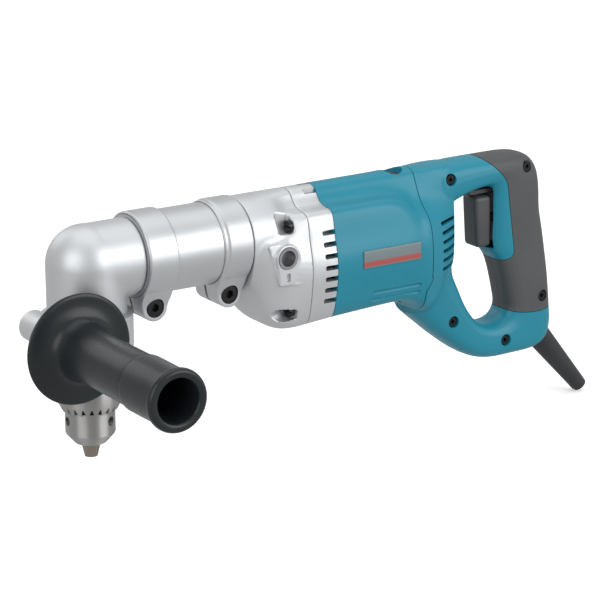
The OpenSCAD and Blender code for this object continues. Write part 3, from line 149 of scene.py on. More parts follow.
# every finish: two close tones, a roughness with its spread, and a grain with its size and depth in metres;
# some have fine lines (stretch and depth), cells (size and depth) or a band (low, high and tone)
finishes = {
    "teal_plastic": {"tones": (color(0.0070, 0.194, 0.274), color(0.0102, 0.220, 0.310)),
                     "rough": (0.40, 0.08), "grain": (0.0006, 0.00004),
                     "fixed": {"Specular IOR Level": 0.38}},
    "soft_grip": {"tones": (color(0.056, 0.059, 0.061), color(0.076, 0.079, 0.081)),
                  "rough": (0.52, 0.14), "grain": (0.0006, 0.00004), "cells": (0.0010, 0.00006),
                  "fixed": {"Specular IOR Level": 0.42}},
    "slate_plastic": {"tones": (color(0.010, 0.013, 0.015), color(0.016, 0.020, 0.022)),
                      "rough": (0.29, 0.08), "grain": (0.0007, 0.00002),
                      "lines": ((3.0, 1500.0, 3.0), 0.000010), "fixed": {"Specular IOR Level": 0.34}},
    "dark_plastic": {"tones": (color(0.044, 0.047, 0.049), color(0.064, 0.067, 0.069)),
                     "rough": (0.42, 0.12), "grain": (0.0007, 0.00005),
                     "fixed": {"Specular IOR Level": 0.45}},
    "black_rubber": {"tones": (color(0.016, 0.017, 0.019), color(0.030, 0.031, 0.033)),
                     "rough": (0.55, 0.15), "grain": (0.0009, 0.00008),
                     "fixed": {"Specular IOR Level": 0.4}},
    "cast_metal": {"tones": (color(0.535, 0.55, 0.565), color(0.60, 0.615, 0.63)),
                   "rough": (0.46, 0.08), "grain": (0.0007, 0.00004), "cells": (0.0011, 0.00002),
                   "fixed": {"Metallic": 0.78}},
    "pipe_metal": {"tones": (color(0.50, 0.515, 0.53), color(0.56, 0.575, 0.59)),
                   "rough": (0.40, 0.08), "grain": (0.0007, 0.00002),
                   "lines": ((2600.0, 4.0, 4.0), 0.000005), "fixed": {"Metallic": 0.8}},
    "black_steel": {"tones": (color(0.007, 0.007, 0.008), color(0.016, 0.016, 0.017)),
                    "rough": (0.34, 0.12), "grain": (0.0005, 0.00003), "fixed": {"Metallic": 0.4}},
    "chuck_steel": {"tones": (color(0.36, 0.357, 0.352), color(0.46, 0.456, 0.45)),
                    "rough": (0.42, 0.06), "grain": (0.0005, 0.00001),
                    "lines": ((4.0, 4.0, 3000.0), 0.000006),
                    "fixed": {"Metallic": 1.0, "Anisotropic": 0.95, "Anisotropic Rotation": 0.25}},
    "jaw_steel": {"tones": (color(0.24, 0.205, 0.175), color(0.33, 0.285, 0.245)),
                  "rough": (0.26, 0.16), "grain": (0.0005, 0.00002), "fixed": {"Metallic": 0.95}},
    "bearing_steel": {"tones": (color(0.55, 0.56, 0.58), color(0.68, 0.69, 0.71)),
                      "rough": (0.14, 0.10), "grain": (0.0004, 0.00001), "fixed": {"Metallic": 1.0}},
    "gear_steel": {"tones": (color(0.30, 0.30, 0.31), color(0.42, 0.42, 0.43)),
                   "rough": (0.30, 0.16), "grain": (0.0005, 0.00003), "fixed": {"Metallic": 0.95}},
    "plate": {"tones": (color(0.165, 0.205, 0.215), color(0.205, 0.245, 0.255)),
              "rough": (0.34, 0.08), "grain": (0.0006, 0.00001),
              "lines": ((30.0, 0.0, 4000.0), 0.000004), "fixed": {"Metallic": 0.3},
              "band": (0.1164, 0.1203, color(0.42, 0.095, 0.085))},
    "brass": {"tones": (color(0.55, 0.38, 0.15), color(0.70, 0.50, 0.22)),
              "rough": (0.26, 0.16), "grain": (0.0006, 0.00002), "fixed": {"Metallic": 0.95}},
    "copper": {"tones": (color(0.48, 0.20, 0.09), color(0.64, 0.29, 0.14)),
               "rough": (0.32, 0.18), "grain": (0.0008, 0.00008), "fixed": {"Metallic": 0.9}},
    "lamination": {"tones": (color(0.11, 0.11, 0.12), color(0.17, 0.17, 0.18)),
                   "rough": (0.45, 0.14), "grain": (0.0007, 0.00006), "fixed": {"Metallic": 0.7}},
    "carbon": {"tones": (color(0.014, 0.014, 0.014), color(0.026, 0.026, 0.026)),
               "rough": (0.6, 0.15), "grain": (0.0006, 0.00005), "fixed": {}},
}
# what all finishes share: the noises' scale and detail, their middle, and the grain's part in the roughness
sharedLook = {"cloudScale": 35.0, "cloudDetail": 3.0, "grainDetail": 1.0, "lineDetail": 2.0,
              "middle": 0.5, "grainPart": 0.6}


def makeFinish(name, look):
    finish = Finish(name, look["fixed"])
    middle = sharedLook["middle"]
    cloud = finish.noise(sharedLook["cloudScale"], sharedLook["cloudDetail"])
    size, depth = look["grain"]
    grain = finish.noise(1.0 / size, sharedLook["grainDetail"])
    height = grain * depth
    base, spread = look["rough"]
    rough = base + spread * (cloud - middle) + spread * sharedLook["grainPart"] * (grain - middle)
    if "lines" in look:
        stretch, depth = look["lines"]
        lines = finish.noise(1.0, sharedLook["lineDetail"], stretch)
        height = height + lines * depth
        rough = rough + spread * (lines - middle)
    if "cells" in look:
        size, depth = look["cells"]
        height = height + finish.cells(size) * depth
    tone = finish.blend(cloud, *look["tones"])
    # a band of another tone between two heights: a printed stripe on the plate, a band of painted shade on
    # the chuck body
    if "band" in look:
        low, high, bandTone = look["band"]
        z = finish.axis("Z")
        tone = finish.blend((z > low) * (z < high), tone, bandTone)
    finish.drive("Base Color", tone)
    finish.drive("Roughness", rough)
    finish.bump(height)
    return finish


def paint(piece, finish):
    piece.data.materials.clear()
    piece.data.materials.append(finish.material)


made = {name: makeFinish(name, look) for name, look in finishes.items()}
for entry in frame["record"]["subparts"]:
    paint(nodes[entry["node"]], made[entry["material_slot"]])
print("finishes made:", len(made))


# modelling helpers, in millimetres from the tool axis: x back along the motor, y to the right, z up
mm = 0.001
axisHeight = 144.0
motorZ = -26  # axis of the motor
bothSides = (-1, 1)
acrossAll = (-60, 60)  # wider than the tool
overlap = 1  # how far pieces and cutters reach into or past each other
turnSteps = 96  # facets of a turned piece


def spot(x, y, z):
    return Vector((x, y, z + axisHeight)) * mm


def onlySelect(piece):
    bpy.ops.object.select_all(action="DESELECT")
    piece.select_set(True)
    bpy.context.view_layer.objects.active = piece


def applyModifier(piece, kind, **settings):
    onlySelect(piece)
    step = piece.modifiers.new(kind.lower(), kind)
    for key, value in settings.items():
        setattr(step, key, value)
    bpy.ops.object.modifier_apply(modifier=step.name)


def roundEdges(piece, width, segments, angle):
    applyModifier(piece, "BEVEL", width=width * mm, segments=segments,
                  limit_method="ANGLE", angle_limit=angle)


def remesh(piece, voxel):
    applyModifier(piece, "REMESH", mode="VOXEL", voxel_size=voxel * mm)


def smooth(piece, rounds, **settings):
    applyModifier(piece, "SMOOTH", factor=0.5, iterations=rounds, **settings)


def trim(piece, cutters, operation="DIFFERENCE"):
    for cutter in cutters:
        applyModifier(piece, "BOOLEAN", object=cutter, operation=operation, solver="MANIFOLD")
        bpy.data.objects.remove(cutter, do_unlink=True)


def copyPiece(piece, name):
    onlySelect(piece)
    bpy.ops.object.duplicate()
    twin = bpy.context.object
    twin.name = name
    return twin


def joinPieces(pieces, name):
    onlySelect(pieces[0])
    for piece in pieces:
        piece.select_set(True)
    bpy.ops.object.join()
    bpy.context.object.name = name
    return bpy.context.object


# a circle extruded from ring to ring, its ends filled or bridged
def loftPiece(name, rings, closed=False):
    bpy.ops.object.select_all(action="DESELECT")
    bpy.ops.mesh.primitive_circle_add(vertices=len(rings[0]), radius=10 * mm)
    piece = bpy.context.object
    piece.name = name
    bpy.ops.object.mode_set(mode="EDIT")
    bpy.ops.mesh.select_mode(type="VERT")
    bpy.ops.mesh.select_all(action="SELECT")
    shape = bmesh.from_edit_mesh(piece.data)
    order = {vert.index: vert.index for vert in shape.verts}
    for vert in shape.verts:
        vert.co = rings[0][vert.index]
    for ring in rings[1:]:
        bpy.ops.mesh.extrude_edges_indiv()
        shape = bmesh.from_edit_mesh(piece.data)
        shape.verts.index_update()
        for vert in [v for v in shape.verts if v.select]:
            for edge in vert.link_edges:
                other = edge.other_vert(vert)
                if not other.select:
                    order[vert.index] = order[other.index]
            vert.co = ring[order[vert.index]]
        bmesh.update_edit_mesh(piece.data)
    bpy.ops.mesh.select_all(action="DESELECT")
    bpy.ops.mesh.select_non_manifold()
    if closed:
        bpy.ops.mesh.bridge_edge_loops()
    else:
        bpy.ops.mesh.fill_holes(sides=0)
    bpy.ops.mesh.select_all(action="SELECT")
    bpy.ops.mesh.normals_make_consistent(inside=False)
    bpy.ops.object.mode_set(mode="OBJECT")
    return piece


# a profile turned about an axis; place gives a profile point's spot at a turn's cosine and sine
def turnPiece(name, profile, place):
    rings = []
    for k in range(turnSteps):
        a = 2 * math.pi * k / turnSteps
        rings.append([place(point, math.cos(a), math.sin(a)) for point in profile])
    return loftPiece(name, rings, True)


def addBlock(low, high, edge=0.0, facets=4):
    bpy.ops.object.select_all(action="DESELECT")
    bpy.ops.mesh.primitive_cube_add(size=1.0)
    block = bpy.context.object
    a, b = spot(*low), spot(*high)
    block.scale = b - a
    block.location = (a + b) / 2
    bpy.ops.object.transform_apply(location=True, rotation=True, scale=True)
    if edge:
        applyModifier(block, "BEVEL", width=edge * mm, segments=facets, limit_method="NONE")
    return block


# a block given for the right side, put on either
def sideBlock(side, low, high, edge=0.0):
    (startX, near, bottom), (endX, far, top) = low, high
    left, right = sorted((side * near, side * far))
    return addBlock((startX, left, bottom), (endX, right, top), edge)


def ventBlocks(vents):
    blocks = []
    for k in range(vents["count"]):
        top = vents["top"] - k * vents["pitch"]
        low = (vents["start"], vents["near"], top - vents["height"])
        high = (vents["end"], vents["far"], top)
        blocks += [sideBlock(side, low, high, vents["edge"]) for side in bothSides]
    return blocks


def addRod(start, end, radius, endRadius=None, facets=48, edge=0.0):
    bpy.ops.object.select_all(action="DESELECT")
    a, b = spot(*start), spot(*end)
    turn = (b - a).to_track_quat("Z", "Y").to_euler()
    bpy.ops.mesh.primitive_cone_add(vertices=facets, radius1=radius * mm, depth=(b - a).length,
                                    radius2=(radius if endRadius is None else endRadius) * mm,
                                    location=(a + b) / 2, rotation=turn)
    rod = bpy.context.object
    bpy.ops.object.transform_apply(location=True, rotation=True, scale=True)
    if edge:
        roundEdges(rod, edge, segments=4, angle=1.2)
    return rod


def rodAlong(y, z, start, end, radius, facets=48, edge=0.0):
    return addRod((start, y, z), (end, y, z), radius, facets=facets, edge=edge)


def rodAcross(x, z, start, end, radius, facets=48, edge=0.0):
    return addRod((x, start, z), (x, end, z), radius, facets=facets, edge=edge)


def rodUpright(x, y, start, end, radius, facets=48):
    return addRod((x, y, start), (x, y, end), radius, facets=facets)


def addPlate(outline, low, high):
    return loftPiece("plate", [[spot(x, y, z) for x, z in outline] for y in (low, high)])


def growOutline(outline, distance):
    points = [Vector(p) for p in outline]
    grown = []
    for i, p in enumerate(points):
        before = (p - points[i - 1]).normalized()
        after = (points[(i + 1) % len(points)] - p).normalized()
        aside = (Vector((before.y, -before.x)) + Vector((after.y, -after.x))).normalized()
        grown.append(p + aside * distance)
    return [(p.x, p.y) for p in grown]


def dress(piece, name, slotName, body, replaced, angle=35.0):
    onlySelect(piece)
    piece.name = name
    bpy.ops.object.shade_smooth_by_angle(angle=math.radians(angle))
    paint(piece, made[slotName])
    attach(piece, body)
    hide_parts(replaced)
    print(name, "ready:", len(piece.data.polygons), "faces")


# half a section made whole, and drawn in all round for an inner wall
def mirrorRing(x, half, shrink=0.0):
    middle = (half[0][1] + half[-1][1]) / 2
    wide, tall = max(y for y, z in half), half[0][1] - middle
    half = [(y * (1 - shrink / wide), middle + (z - middle) * (1 - shrink / tall)) for y, z in half]
    return [spot(x, y, z) for y, z in half] + [spot(x, -y, z) for y, z in half[-2:0:-1]]


# a smooth line that passes through every point
def curveThrough(points, steps, closed):
    last = len(points) - 1
    line = []
    for i in range(last + 1 if closed else last):
        near = [(i + k) % (last + 1) if closed else min(max(i + k, 0), last) for k in (-1, 0, 1, 2)]
        a, b, c, d = (points[index] for index in near)
        square, cube = 2 * a - 5 * b + 4 * c - d, 3 * b - a - 3 * c + d
        for k in range(steps):
            t = k / steps
            line.append(0.5 * ((2 * b) + (c - a) * t + square * t * t + cube * t ** 3))
    return line if closed else line + [points[-1]]


def smoothRings(rings, steps, closed):
    columns = [curveThrough(column, steps, closed) for column in zip(*rings)]
    return [list(ring) for ring in zip(*columns)]


def sectionLoft(sections, shrink=0.0, roundSteps=3, lengthSteps=5):
    rings = smoothRings([mirrorRing(x, half, shrink) for x, half in sections], lengthSteps, False)
    return loftPiece("loft", [curveThrough(ring, roundSteps, True) for ring in rings])


# motor case and the handle's tail: half of each section from the ridge to the bottom, the S-shaped seam,
# bores and grooves as start, end, radius, facets and edge, and the brushes' openings as start, end, radius
motorForm = {
    "sections": [
        (189.2, [(0, 32.3), (7.5, 30), (11.5, 24.6), (16, 20.6), (22, 18.8), (28.6, 17.6),
                 (32.6, 13), (35.9, -3.5), (39.2, -17), (39.4, -31), (36.8, -47), (33.8, -58),
                 (29, -64.6), (16, -66.2), (0, -66.2)]),
        (238, [(0, 32.6), (7.5, 30.3), (11.5, 24.6), (16, 20.4), (22, 18.6), (28.4, 17.4),
               (32.4, 12.8), (35.9, -3.5), (39.2, -17), (39.4, -31), (36.6, -46), (33.4, -56.6),
               (28.6, -62.6), (16, -64), (0, -64)]),
        (256, [(0, 32.8), (8, 30.5), (12, 24.4), (16.2, 19), (22.2, 16.2), (28.6, 12.6), (33, 6.6),
               (36.4, -6), (39, -18), (39.3, -31), (36.6, -46), (33.4, -56.6), (28.6, -63),
               (16, -64.6), (0, -64.6)]),
        (268, [(0, 32.9), (8.3, 30.6), (12, 24.6), (15.4, 18.2), (19.6, 12.2), (25, 7.2),
               (30.4, 1.8), (34.6, -6), (37.4, -17), (38, -30.5), (36.8, -45), (34.2, -57),
               (29.6, -66), (17, -70), (0, -70.6)]),
        (276, [(0, 33), (8.5, 30.7), (12, 25), (15, 18.5), (18.6, 12), (23.4, 6.5), (28.8, 1.6),
               (33, -4), (36.2, -15), (37.3, -30), (36.6, -46), (34.4, -58), (30.6, -69),
               (19, -76.5), (0, -78)]),
        (290, [(0, 33), (10, 31.6), (13.2, 27.4), (15.4, 20), (17.6, 12), (21.4, 5), (25.6, -1.5),
               (29.4, -8), (32.2, -18), (33, -31), (32.2, -44), (29.6, -56), (25, -68), (15, -78),
               (0, -80)]),
        (303, [(0, 33), (10.2, 31.7), (13.7, 27.9), (15.4, 20.7), (16.4, 12), (18.4, 4),
               (20.6, -3.5), (22.6, -11), (24.2, -20), (24.6, -30), (24, -40), (22.4, -48),
               (19, -54), (11, -57), (0, -57)]),
        (311, [(0, 33), (9.8, 31.5), (13.2, 27.6), (15.2, 20.8), (15.8, 12), (16.4, 4), (16.8, -3.5),
               (17, -11), (17.2, -19), (17.2, -27), (17, -35), (16.2, -42), (14, -47), (9, -50),
               (0, -50)]),
    ],
    "tailStart": 2,
    "seam": [
        (150, 80), (150, -110), (274.6, -110), (274.6, -79), (272, -66), (272, -57), (277.3, -47.6),
        (276.3, -46), (276.3, 80),
    ],
    "gap": 0.8,
    "bores": [(180, 273.0, 34.6, 72), (270, 300, 11.1)],
    "brushX": 263.0,
    "brushBores": [(0, 30, 7.1), (-40, -70, 7.1), (29, 50, 8.6), (-61, -90, 8.6)],
    "grooves": [(36.3, -50.6), (35.0, -56.6)],
    "groove": (222, 267, 2.0, 20, 1.6),
}


def makeMotorCase():
    form = motorForm
    case = sectionLoft(form["sections"])
    trim(case, [addPlate(form["seam"], *acrossAll)], "INTERSECT")
    cuts = [rodAlong(0, motorZ, *bore) for bore in form["bores"]]
    cuts += [rodUpright(form["brushX"], 0, *bore) for bore in form["brushBores"]]
    cuts += [rodAlong(side * y, z, *form["groove"]) for y, z in form["grooves"] for side in bothSides]
    trim(case, cuts)
    dress(case, "motorCase", "teal_plastic", "motor_unit", "motor_housing")


# D handle: inner and outer point of each section round the loop, how much some narrow to the outside,
# the grip's line, and the screws' posts, recesses and holes as start, end, radius and facets
handleForm = {
    "rings": [
        (314.7, 1, 306.2, 32.2), (332.2, 7.1, 347.2, 33), (347.2, 8.7, 374.2, 32.5),
        (350.2, 4, 387.7, 28.4), (350.2, -5.9, 395.2, 19.2), (350.2, -20, 397.8, 5.9),
        (349.7, -34.1, 399, -13.9), (352, -44.2, 402.2, -31), (357, -51, 405.7, -52.9),
        (361.6, -63.4, 408.4, -72), (366.2, -81.8, 410.4, -94.9), (367.7, -91.1, 411.2, -110),
        (364.2, -98.4, 407.7, -122.5), (357.7, -102.1, 396.2, -129.4),
        (350.2, -102.8, 373.2, -130.7), (342.7, -100.3, 348.2, -130.3),
        (334.7, -94.1, 329.2, -124.4), (326.7, -82.3, 310.2, -111.5), (320.2, -67.4, 289.2, -94.3),
        (315.7, -56.4, 271.2, -76.1), (313.7, -45.7, 282.2, -61), (312.7, -28.5, 286.2, -29.3),
        (312.2, -8, 292.2, 3.5), (313.2, -2.5, 295, 26),
    ],
    "halfWidth": 17.4, "round": 0.62, "points": 28, "steps": 3,
    "taper": {0: 0.24, 1: 0.26, 2: 0.26, 3: 0.2, 4: 0.1, 22: 0.26, 23: 0.25}, "taperPower": 1.5,
    "outside": {"shrink": 0.0, "voxel": 0.95, "rounds": 5},
    "inside": {"shrink": 3.2, "voxel": 1.6, "rounds": 2},
    "gripLine": [
        (330, 60), (333, 42), (335, 36.6), (341, 32.5), (351, 24), (358, 16.7), (361.7, 10),
        (364, -7), (367, -30), (368.8, -44), (367.4, -48.6), (363.6, -51), (358, -51.6),
        (341.5, -50.5), (333, -60), (333, -82), (341, -88), (355, -89), (373, -95), (393, -97),
        (406, -96), (450, -92), (450, 60),
    ],
    "gripSteps": 4, "gripGap": 0.5,
    "screws": [(307.6, 21), (381, 21.5), (311, -92.5), (362, -116), (398, -85.5)],
    "post": (-14.8, 14.8, 4.8, 24), "recess": (-30, -12.4, 4.8, 40), "hole": (-20, 14.6, 2.1, 16),
    "vents": {"start": 288.6, "end": 309.6, "near": 11.0, "far": 42.0, "top": -6.6, "height": 3.0,
              "pitch": 7.0, "count": 6, "edge": 1.45},
    "trigger": {"low": (341.6, -11.2, -41.6), "high": (362, 11.2, 8.2), "edge": 1.5},
    "guard": {"root": (403.8, -119.85), "along": (0.656, -0.755), "span": (-22, 30), "radius": 10.3},
    "half": {"low": (200, 0.07, -160), "high": (460, 60.0, 80)},
}


def bulge(value, power):
    return math.copysign(abs(value) ** power, value)


def loopRing(index, shrink, form):
    innerX, innerZ, outerX, outerZ = form["rings"][index]
    inner, outer = Vector((innerX, innerZ)), Vector((outerX, outerZ))
    middle, along = (inner + outer) / 2, (outer - inner).normalized()
    reach = (outer - inner).length / 2 - shrink
    taper = form["taper"].get(index, 0.0)
    points = []
    for k in range(form["points"]):
        a = 2 * math.pi * k / form["points"]
        c, s = math.cos(a), math.sin(a)
        place = middle + along * reach * bulge(c, form["round"])
        wide = (form["halfWidth"] - shrink) * (1 - taper * max(0.0, c) ** form["taperPower"])
        points.append(spot(place.x, wide * bulge(s, form["round"]), place.y))
    return points


def handleBody(form, shrink, voxel, rounds):
    tail = sectionLoft(motorForm["sections"][motorForm["tailStart"]:], shrink)
    rings = [loopRing(index, shrink, form) for index in range(len(form["rings"]))]
    loop = loftPiece("loop", smoothRings(rings, form["steps"], True), True)
    body = joinPieces([tail, loop], "handleBody")
    remesh(body, voxel)
    smooth(body, rounds)
    return body


def guardBore(guard):
    (rootX, rootZ), (alongX, alongZ) = guard["root"], guard["along"]
    ends = [(rootX + away * alongX, 0, rootZ + away * alongZ) for away in guard["span"]]
    return addRod(*ends, guard["radius"])


def makeHandle():
    form = handleForm
    body = handleBody(form, **form["outside"])
    trim(body, [handleBody(form, **form["inside"])])
    trim(body, [rodAcross(x, z, *form["post"]) for x, z in form["screws"]], "UNION")
    cuts = [addPlate(growOutline(motorForm["seam"], motorForm["gap"]), *acrossAll)]
    cuts.append(addBlock(**form["trigger"]))
    cuts += [rodAcross(x, z, *form[kind]) for x, z in form["screws"] for kind in ("recess", "hole")]
    cuts += ventBlocks(form["vents"])
    cuts.append(guardBore(form["guard"]))
    trim(body, cuts)
    points = curveThrough([Vector(p) for p in form["gripLine"]], form["gripSteps"], False)
    line = [(p.x, p.y) for p in points]
    grip = copyPiece(body, "grip")
    trim(grip, [addPlate(line, *acrossAll)], "INTERSECT")
    trim(body, [addPlate(growOutline(line, form["gripGap"]), *acrossAll)])
    for source, slotName, word in ((body, "teal_plastic", "handle"), (grip, "soft_grip", "grip")):
        for side, ending, node in ((-1, "Left", "_left"), (1, "Right", "_right")):
            half = copyPiece(source, word + ending)
            trim(half, [sideBlock(side, **form["half"])], "INTERSECT")
            dress(half, word + ending, slotName, "motor_unit", word + node)
        bpy.data.objects.remove(source, do_unlink=True)


# plate on the motor's side, with rounded corners
plateForm = {"low": (211.3, -40.55, -28.5), "high": (262.9, -38.4, -15.5), "corner": 1.0, "edge": 0.25}


def makeNamePlate():
    form = plateForm
    plate = addBlock(form["low"], form["high"])
    bpy.ops.object.mode_set(mode="EDIT")
    bpy.ops.mesh.select_mode(type="EDGE")
    bpy.ops.mesh.select_all(action="DESELECT")
    shape = bmesh.from_edit_mesh(plate.data)
    for edge in shape.edges:
        span = edge.verts[0].co - edge.verts[1].co
        edge.select = abs(span.y) > mm  # the four corners
    bmesh.update_edit_mesh(plate.data)
    bpy.ops.mesh.bevel(offset=form["corner"] * mm, segments=5, affect="EDGES")
    bpy.ops.object.mode_set(mode="OBJECT")
    roundEdges(plate, form["edge"], segments=3, angle=1.0)
    dress(plate, "labelPlate", "plate", "motor_unit", "name_plate")


makeMotorCase()
makeHandle()
makeNamePlate()
print("motor and handle finished")


# gear casting in two pieces: sections as on the motor, then bosses, raised pads, scoops, pockets and vents;
# pockets as y, z, start, end and radius, rods as start, end, radius and facets
idlerY, idlerZ = 16.42, -19.67  # axis of the countershaft
gearForm = {
    "front": [
        (122.1, [(0, 30.9), (9.5, 29.4), (17.8, 25.3), (24.4, 19), (28.8, 11.4), (30.7, 3),
                 (30.7, -5), (29.8, -12), (28.4, -18), (26.5, -23), (23.5, -28), (19, -32),
                 (13, -34.8), (7, -36), (0, -36.2)]),
        (130, [(0, 31.2), (9.4, 29.7), (17.4, 25.8), (23.6, 20.2), (27.8, 13.8), (30.2, 7),
               (31, 1.4), (32.4, -3.6), (33.6, -11.5), (33.2, -22), (31, -33), (28, -43),
               (23, -49.5), (14, -52.5), (0, -53)]),
        (138, [(0, 31.4), (9, 29.9), (16.4, 26.1), (22.6, 21.4), (27.2, 15.4), (30.4, 8.6),
               (31.6, 2.6), (34.6, -2.6), (36.6, -11), (36.9, -22), (34.8, -36), (31.8, -50),
               (26.6, -59), (16, -63), (0, -63.6)]),
        (147, [(0, 31.6), (8.6, 30), (15, 26), (21, 22), (26.2, 17), (29.8, 10.4), (31.8, 3.4),
               (35.7, -1.4), (37.8, -10.5), (38.3, -24), (36.6, -40), (33.6, -55), (28.6, -65),
               (17, -69), (0, -69.5)]),
        (157, [(0, 31.8), (8, 30), (12.6, 25.2), (17.6, 20.8), (23.6, 18.6), (28.8, 15.8), (32.6, 8),
               (35.8, -4), (38.5, -15), (38.8, -28), (37, -44), (34, -58), (29.2, -66.6),
               (17, -69.4), (0, -69.6)]),
        (166.95, [(0, 32), (7.6, 29.8), (11.6, 24.6), (16.2, 20.6), (22, 18.9), (28.6, 17.5),
                  (32.7, 12.8), (35.9, -3.5), (38.9, -16.5), (39.2, -30), (37, -46.5), (34, -59),
                  (29.2, -66.2), (16.6, -68.3), (0, -68.3)]),
    ],
    "rear": [
        (167.1, [(0, 32), (7.6, 29.8), (11.6, 24.6), (16.2, 20.6), (22, 18.9), (28.6, 17.5),
                 (32.7, 12.8), (35.9, -3.5), (38.9, -16.5), (39.2, -30), (37, -46.5), (34, -59),
                 (29.2, -66.2), (16.6, -68.3), (0, -68.3)]),
        (188.85, [(0, 32.3), (7.5, 30), (11.5, 24.6), (16, 20.6), (22, 18.8), (28.6, 17.6),
                  (32.6, 13), (35.9, -3.5), (39.2, -17), (39.5, -31), (36.8, -47), (33.8, -58),
                  (29, -64.6), (16, -66.2), (0, -66.2)]),
    ],
    "boss": {"x": 146.0, "z": -10.7, "radius": 10.0, "arc": (-12, 193, 8), "tail": 19.2, "tailHalf": 6.6,
             "corner": 1, "start": 28.0, "reach": 38.7,
             "hole": (26.7, 50, 8.05), "rim": (38.0, 40.0, 8.05, 10.05)},
    "slot": {"low": (144.4, 36.5, -28.3), "high": (147.6, 50, -21.9), "edge": 0.8},
    "pad": [
        (131.5, 35.2, -1.2), (138.2, 38.6, -29.6), (139.6, 38.8, -31), (165, 38.7, -32),
        (165, 34.7, 0.5), (132.6, 35.0, -0.1),
    ],
    "padStart": 27.0,
    "collar": (115, 124, 30.6, 96), "spigot": (98, 123, 25.8, 64),
    "ahead": {"low": (100, -50, -80), "high": (122.1, 50, 60)},
    "upperScoop": {"low": (142.5, 22.8, 5.3), "high": (154.9, 50.0, 22.5), "edge": 2.6},
    "lowerScoop": ((126, 35, -57), (155, 29, -54), 4.0, 6.4),
    "voxel": 0.7, "rounds": 3, "edge": 0.4,
    "screws": [(28.0, 10.5), (28.0, -54.0)],
    "screwPocket": (148.5, 155.0, 5.2, 40), "screwHole": (150, 170, 2.6, 20),
    "coverHole": (160, 187.2, 2.6, 20),
    "pockets": [(0, motorZ, 147, 175, 27.4), (0, 0, 147, 175, 20.6), (idlerY, idlerZ, 163.6, 175, 14.8),
                (0, 0, 133.9, 175, 16.1), (0, 0, 90, 175, 12.0), (idlerY, idlerZ, 138.9, 175, 6.1)],
    "rearPockets": [(0, motorZ, 160, 176, 27.4), (0, 0, 160, 176, 20.6), (idlerY, idlerZ, 160, 176, 14.8),
                    (0, motorZ, 176, 185, 10.1), (0, motorZ, 170, 195, 5.6), (0, motorZ, 184.6, 195, 31.6),
                    (0, 0, 170, 183, 9.6), (idlerY, idlerZ, 170, 183, 6.1)],
    "vents": {"start": 178.0, "end": 200, "near": 27, "far": 50, "top": 4.35, "height": 3.7,
              "pitch": 8.58, "count": 7, "edge": 1.3},
    "topVents": {"places": (-8.5, 0.0, 8.5), "half": 1.5, "bottom": 21, "top": 50},
}


def bossOutline(boss):
    x, z, radius = boss["x"], boss["z"], boss["radius"]
    half, foot, corner = boss["tailHalf"], z - boss["tail"], boss["corner"]
    arc = [math.radians(a) for a in range(*boss["arc"])]
    line = [(x + radius * math.cos(a), z + radius * math.sin(a)) for a in arc]
    line += [(x - half, foot + corner), (x - half + corner, foot)]
    return line + [(x + half - corner, foot), (x + half, foot + corner)]


def sideScoop(side, start, end, radius, endRadius):
    (startX, startY, startZ), (endX, endY, endZ) = start, end
    return addRod((startX, side * startY, startZ), (endX, side * endY, endZ), radius, endRadius)


def makeGearCase():
    form = gearForm
    boss = form["boss"]
    case = sectionLoft(form["front"])
    outline = bossOutline(boss)
    for side in bothSides:
        low, high = sorted((side * boss["start"], side * boss["reach"]))
        trim(case, [addPlate(outline, low, high)], "UNION")
    for side in bothSides:
        inner = [spot(x, side * form["padStart"], z) for x, y, z in form["pad"]]
        outer = [spot(x, side * y, z) for x, y, z in form["pad"]]
        trim(case, [loftPiece("pad", [inner, outer])], "UNION")
    trim(case, [rodAlong(0, 0, *form["collar"])], "UNION")
    cuts = [addBlock(**form["ahead"])]
    for side in bothSides:
        cuts += [sideBlock(side, **form["upperScoop"]), sideScoop(side, *form["lowerScoop"])]
    trim(case, cuts)
    remesh(case, form["voxel"])
    smooth(case, form["rounds"])
    trim(case, [rodAlong(0, 0, *form["spigot"])], "UNION")
    cuts = [rodAlong(*pocket) for pocket in form["pockets"]]
    for side in bothSides:
        for start, end, *radii in (boss["hole"], boss["rim"]):
            ends = [(boss["x"], side * y, boss["z"]) for y in (start, end)]
            cuts.append(addRod(*ends, *radii))
        cuts.append(sideBlock(side, **form["slot"]))
        for y, z in form["screws"]:
            cuts += [rodAlong(side * y, z, *form[kind]) for kind in ("screwPocket", "screwHole")]
    trim(case, cuts)
    dress(case, "gearCase", "cast_metal", "motor_unit", "gear_housing")


def makeGearCover():
    form = gearForm
    cover = sectionLoft(form["rear"])
    roundEdges(cover, form["edge"], segments=2, angle=1.1)
    cuts = [rodAlong(*pocket, facets=64) for pocket in form["rearPockets"]]
    vents, top = form["vents"], form["topVents"]
    cuts += ventBlocks(vents)
    cuts += [rodAlong(side * y, z, *form["coverHole"]) for side in bothSides for y, z in form["screws"]]
    for y in top["places"]:
        low = (vents["start"], y - top["half"], top["bottom"])
        high = (vents["end"], y + top["half"], top["top"])
        cuts.append(addBlock(low, high, vents["edge"]))
    trim(cover, cuts)
    dress(cover, "gearCover", "cast_metal", "motor_unit", "gear_cover")


# right angle head: barrel with a dome, neck and spigot, the inner corner rounded by smoothing near it,
# bores as start, end and radius
headForm = {
    "barrel": 28.7, "drop": -36.0, "neck": 28.4, "neckEnd": 34.0, "spigot": 25.8, "spigotEnd": 58.0,
    "edge": 0.6, "voxel": 0.8, "fillet": 11.0, "filletTop": 8, "filletRounds": 90, "rounds": 3,
    "bores": [((0, 0, -50), (0, 0, 9), 22.0), ((0, 0, 8), (0, 0, 19.1), 9.05),
              ((0, 0, 0), (29.6, 0, 0), 16.05), ((0, 0, 0), (70, 0, 0), 9.0),
              ((49.4, 0, 0), (70, 0, 0), 12.05)],
    "screwRing": 25.35, "screwHole": (-40, -26, 2.05, 16),
}


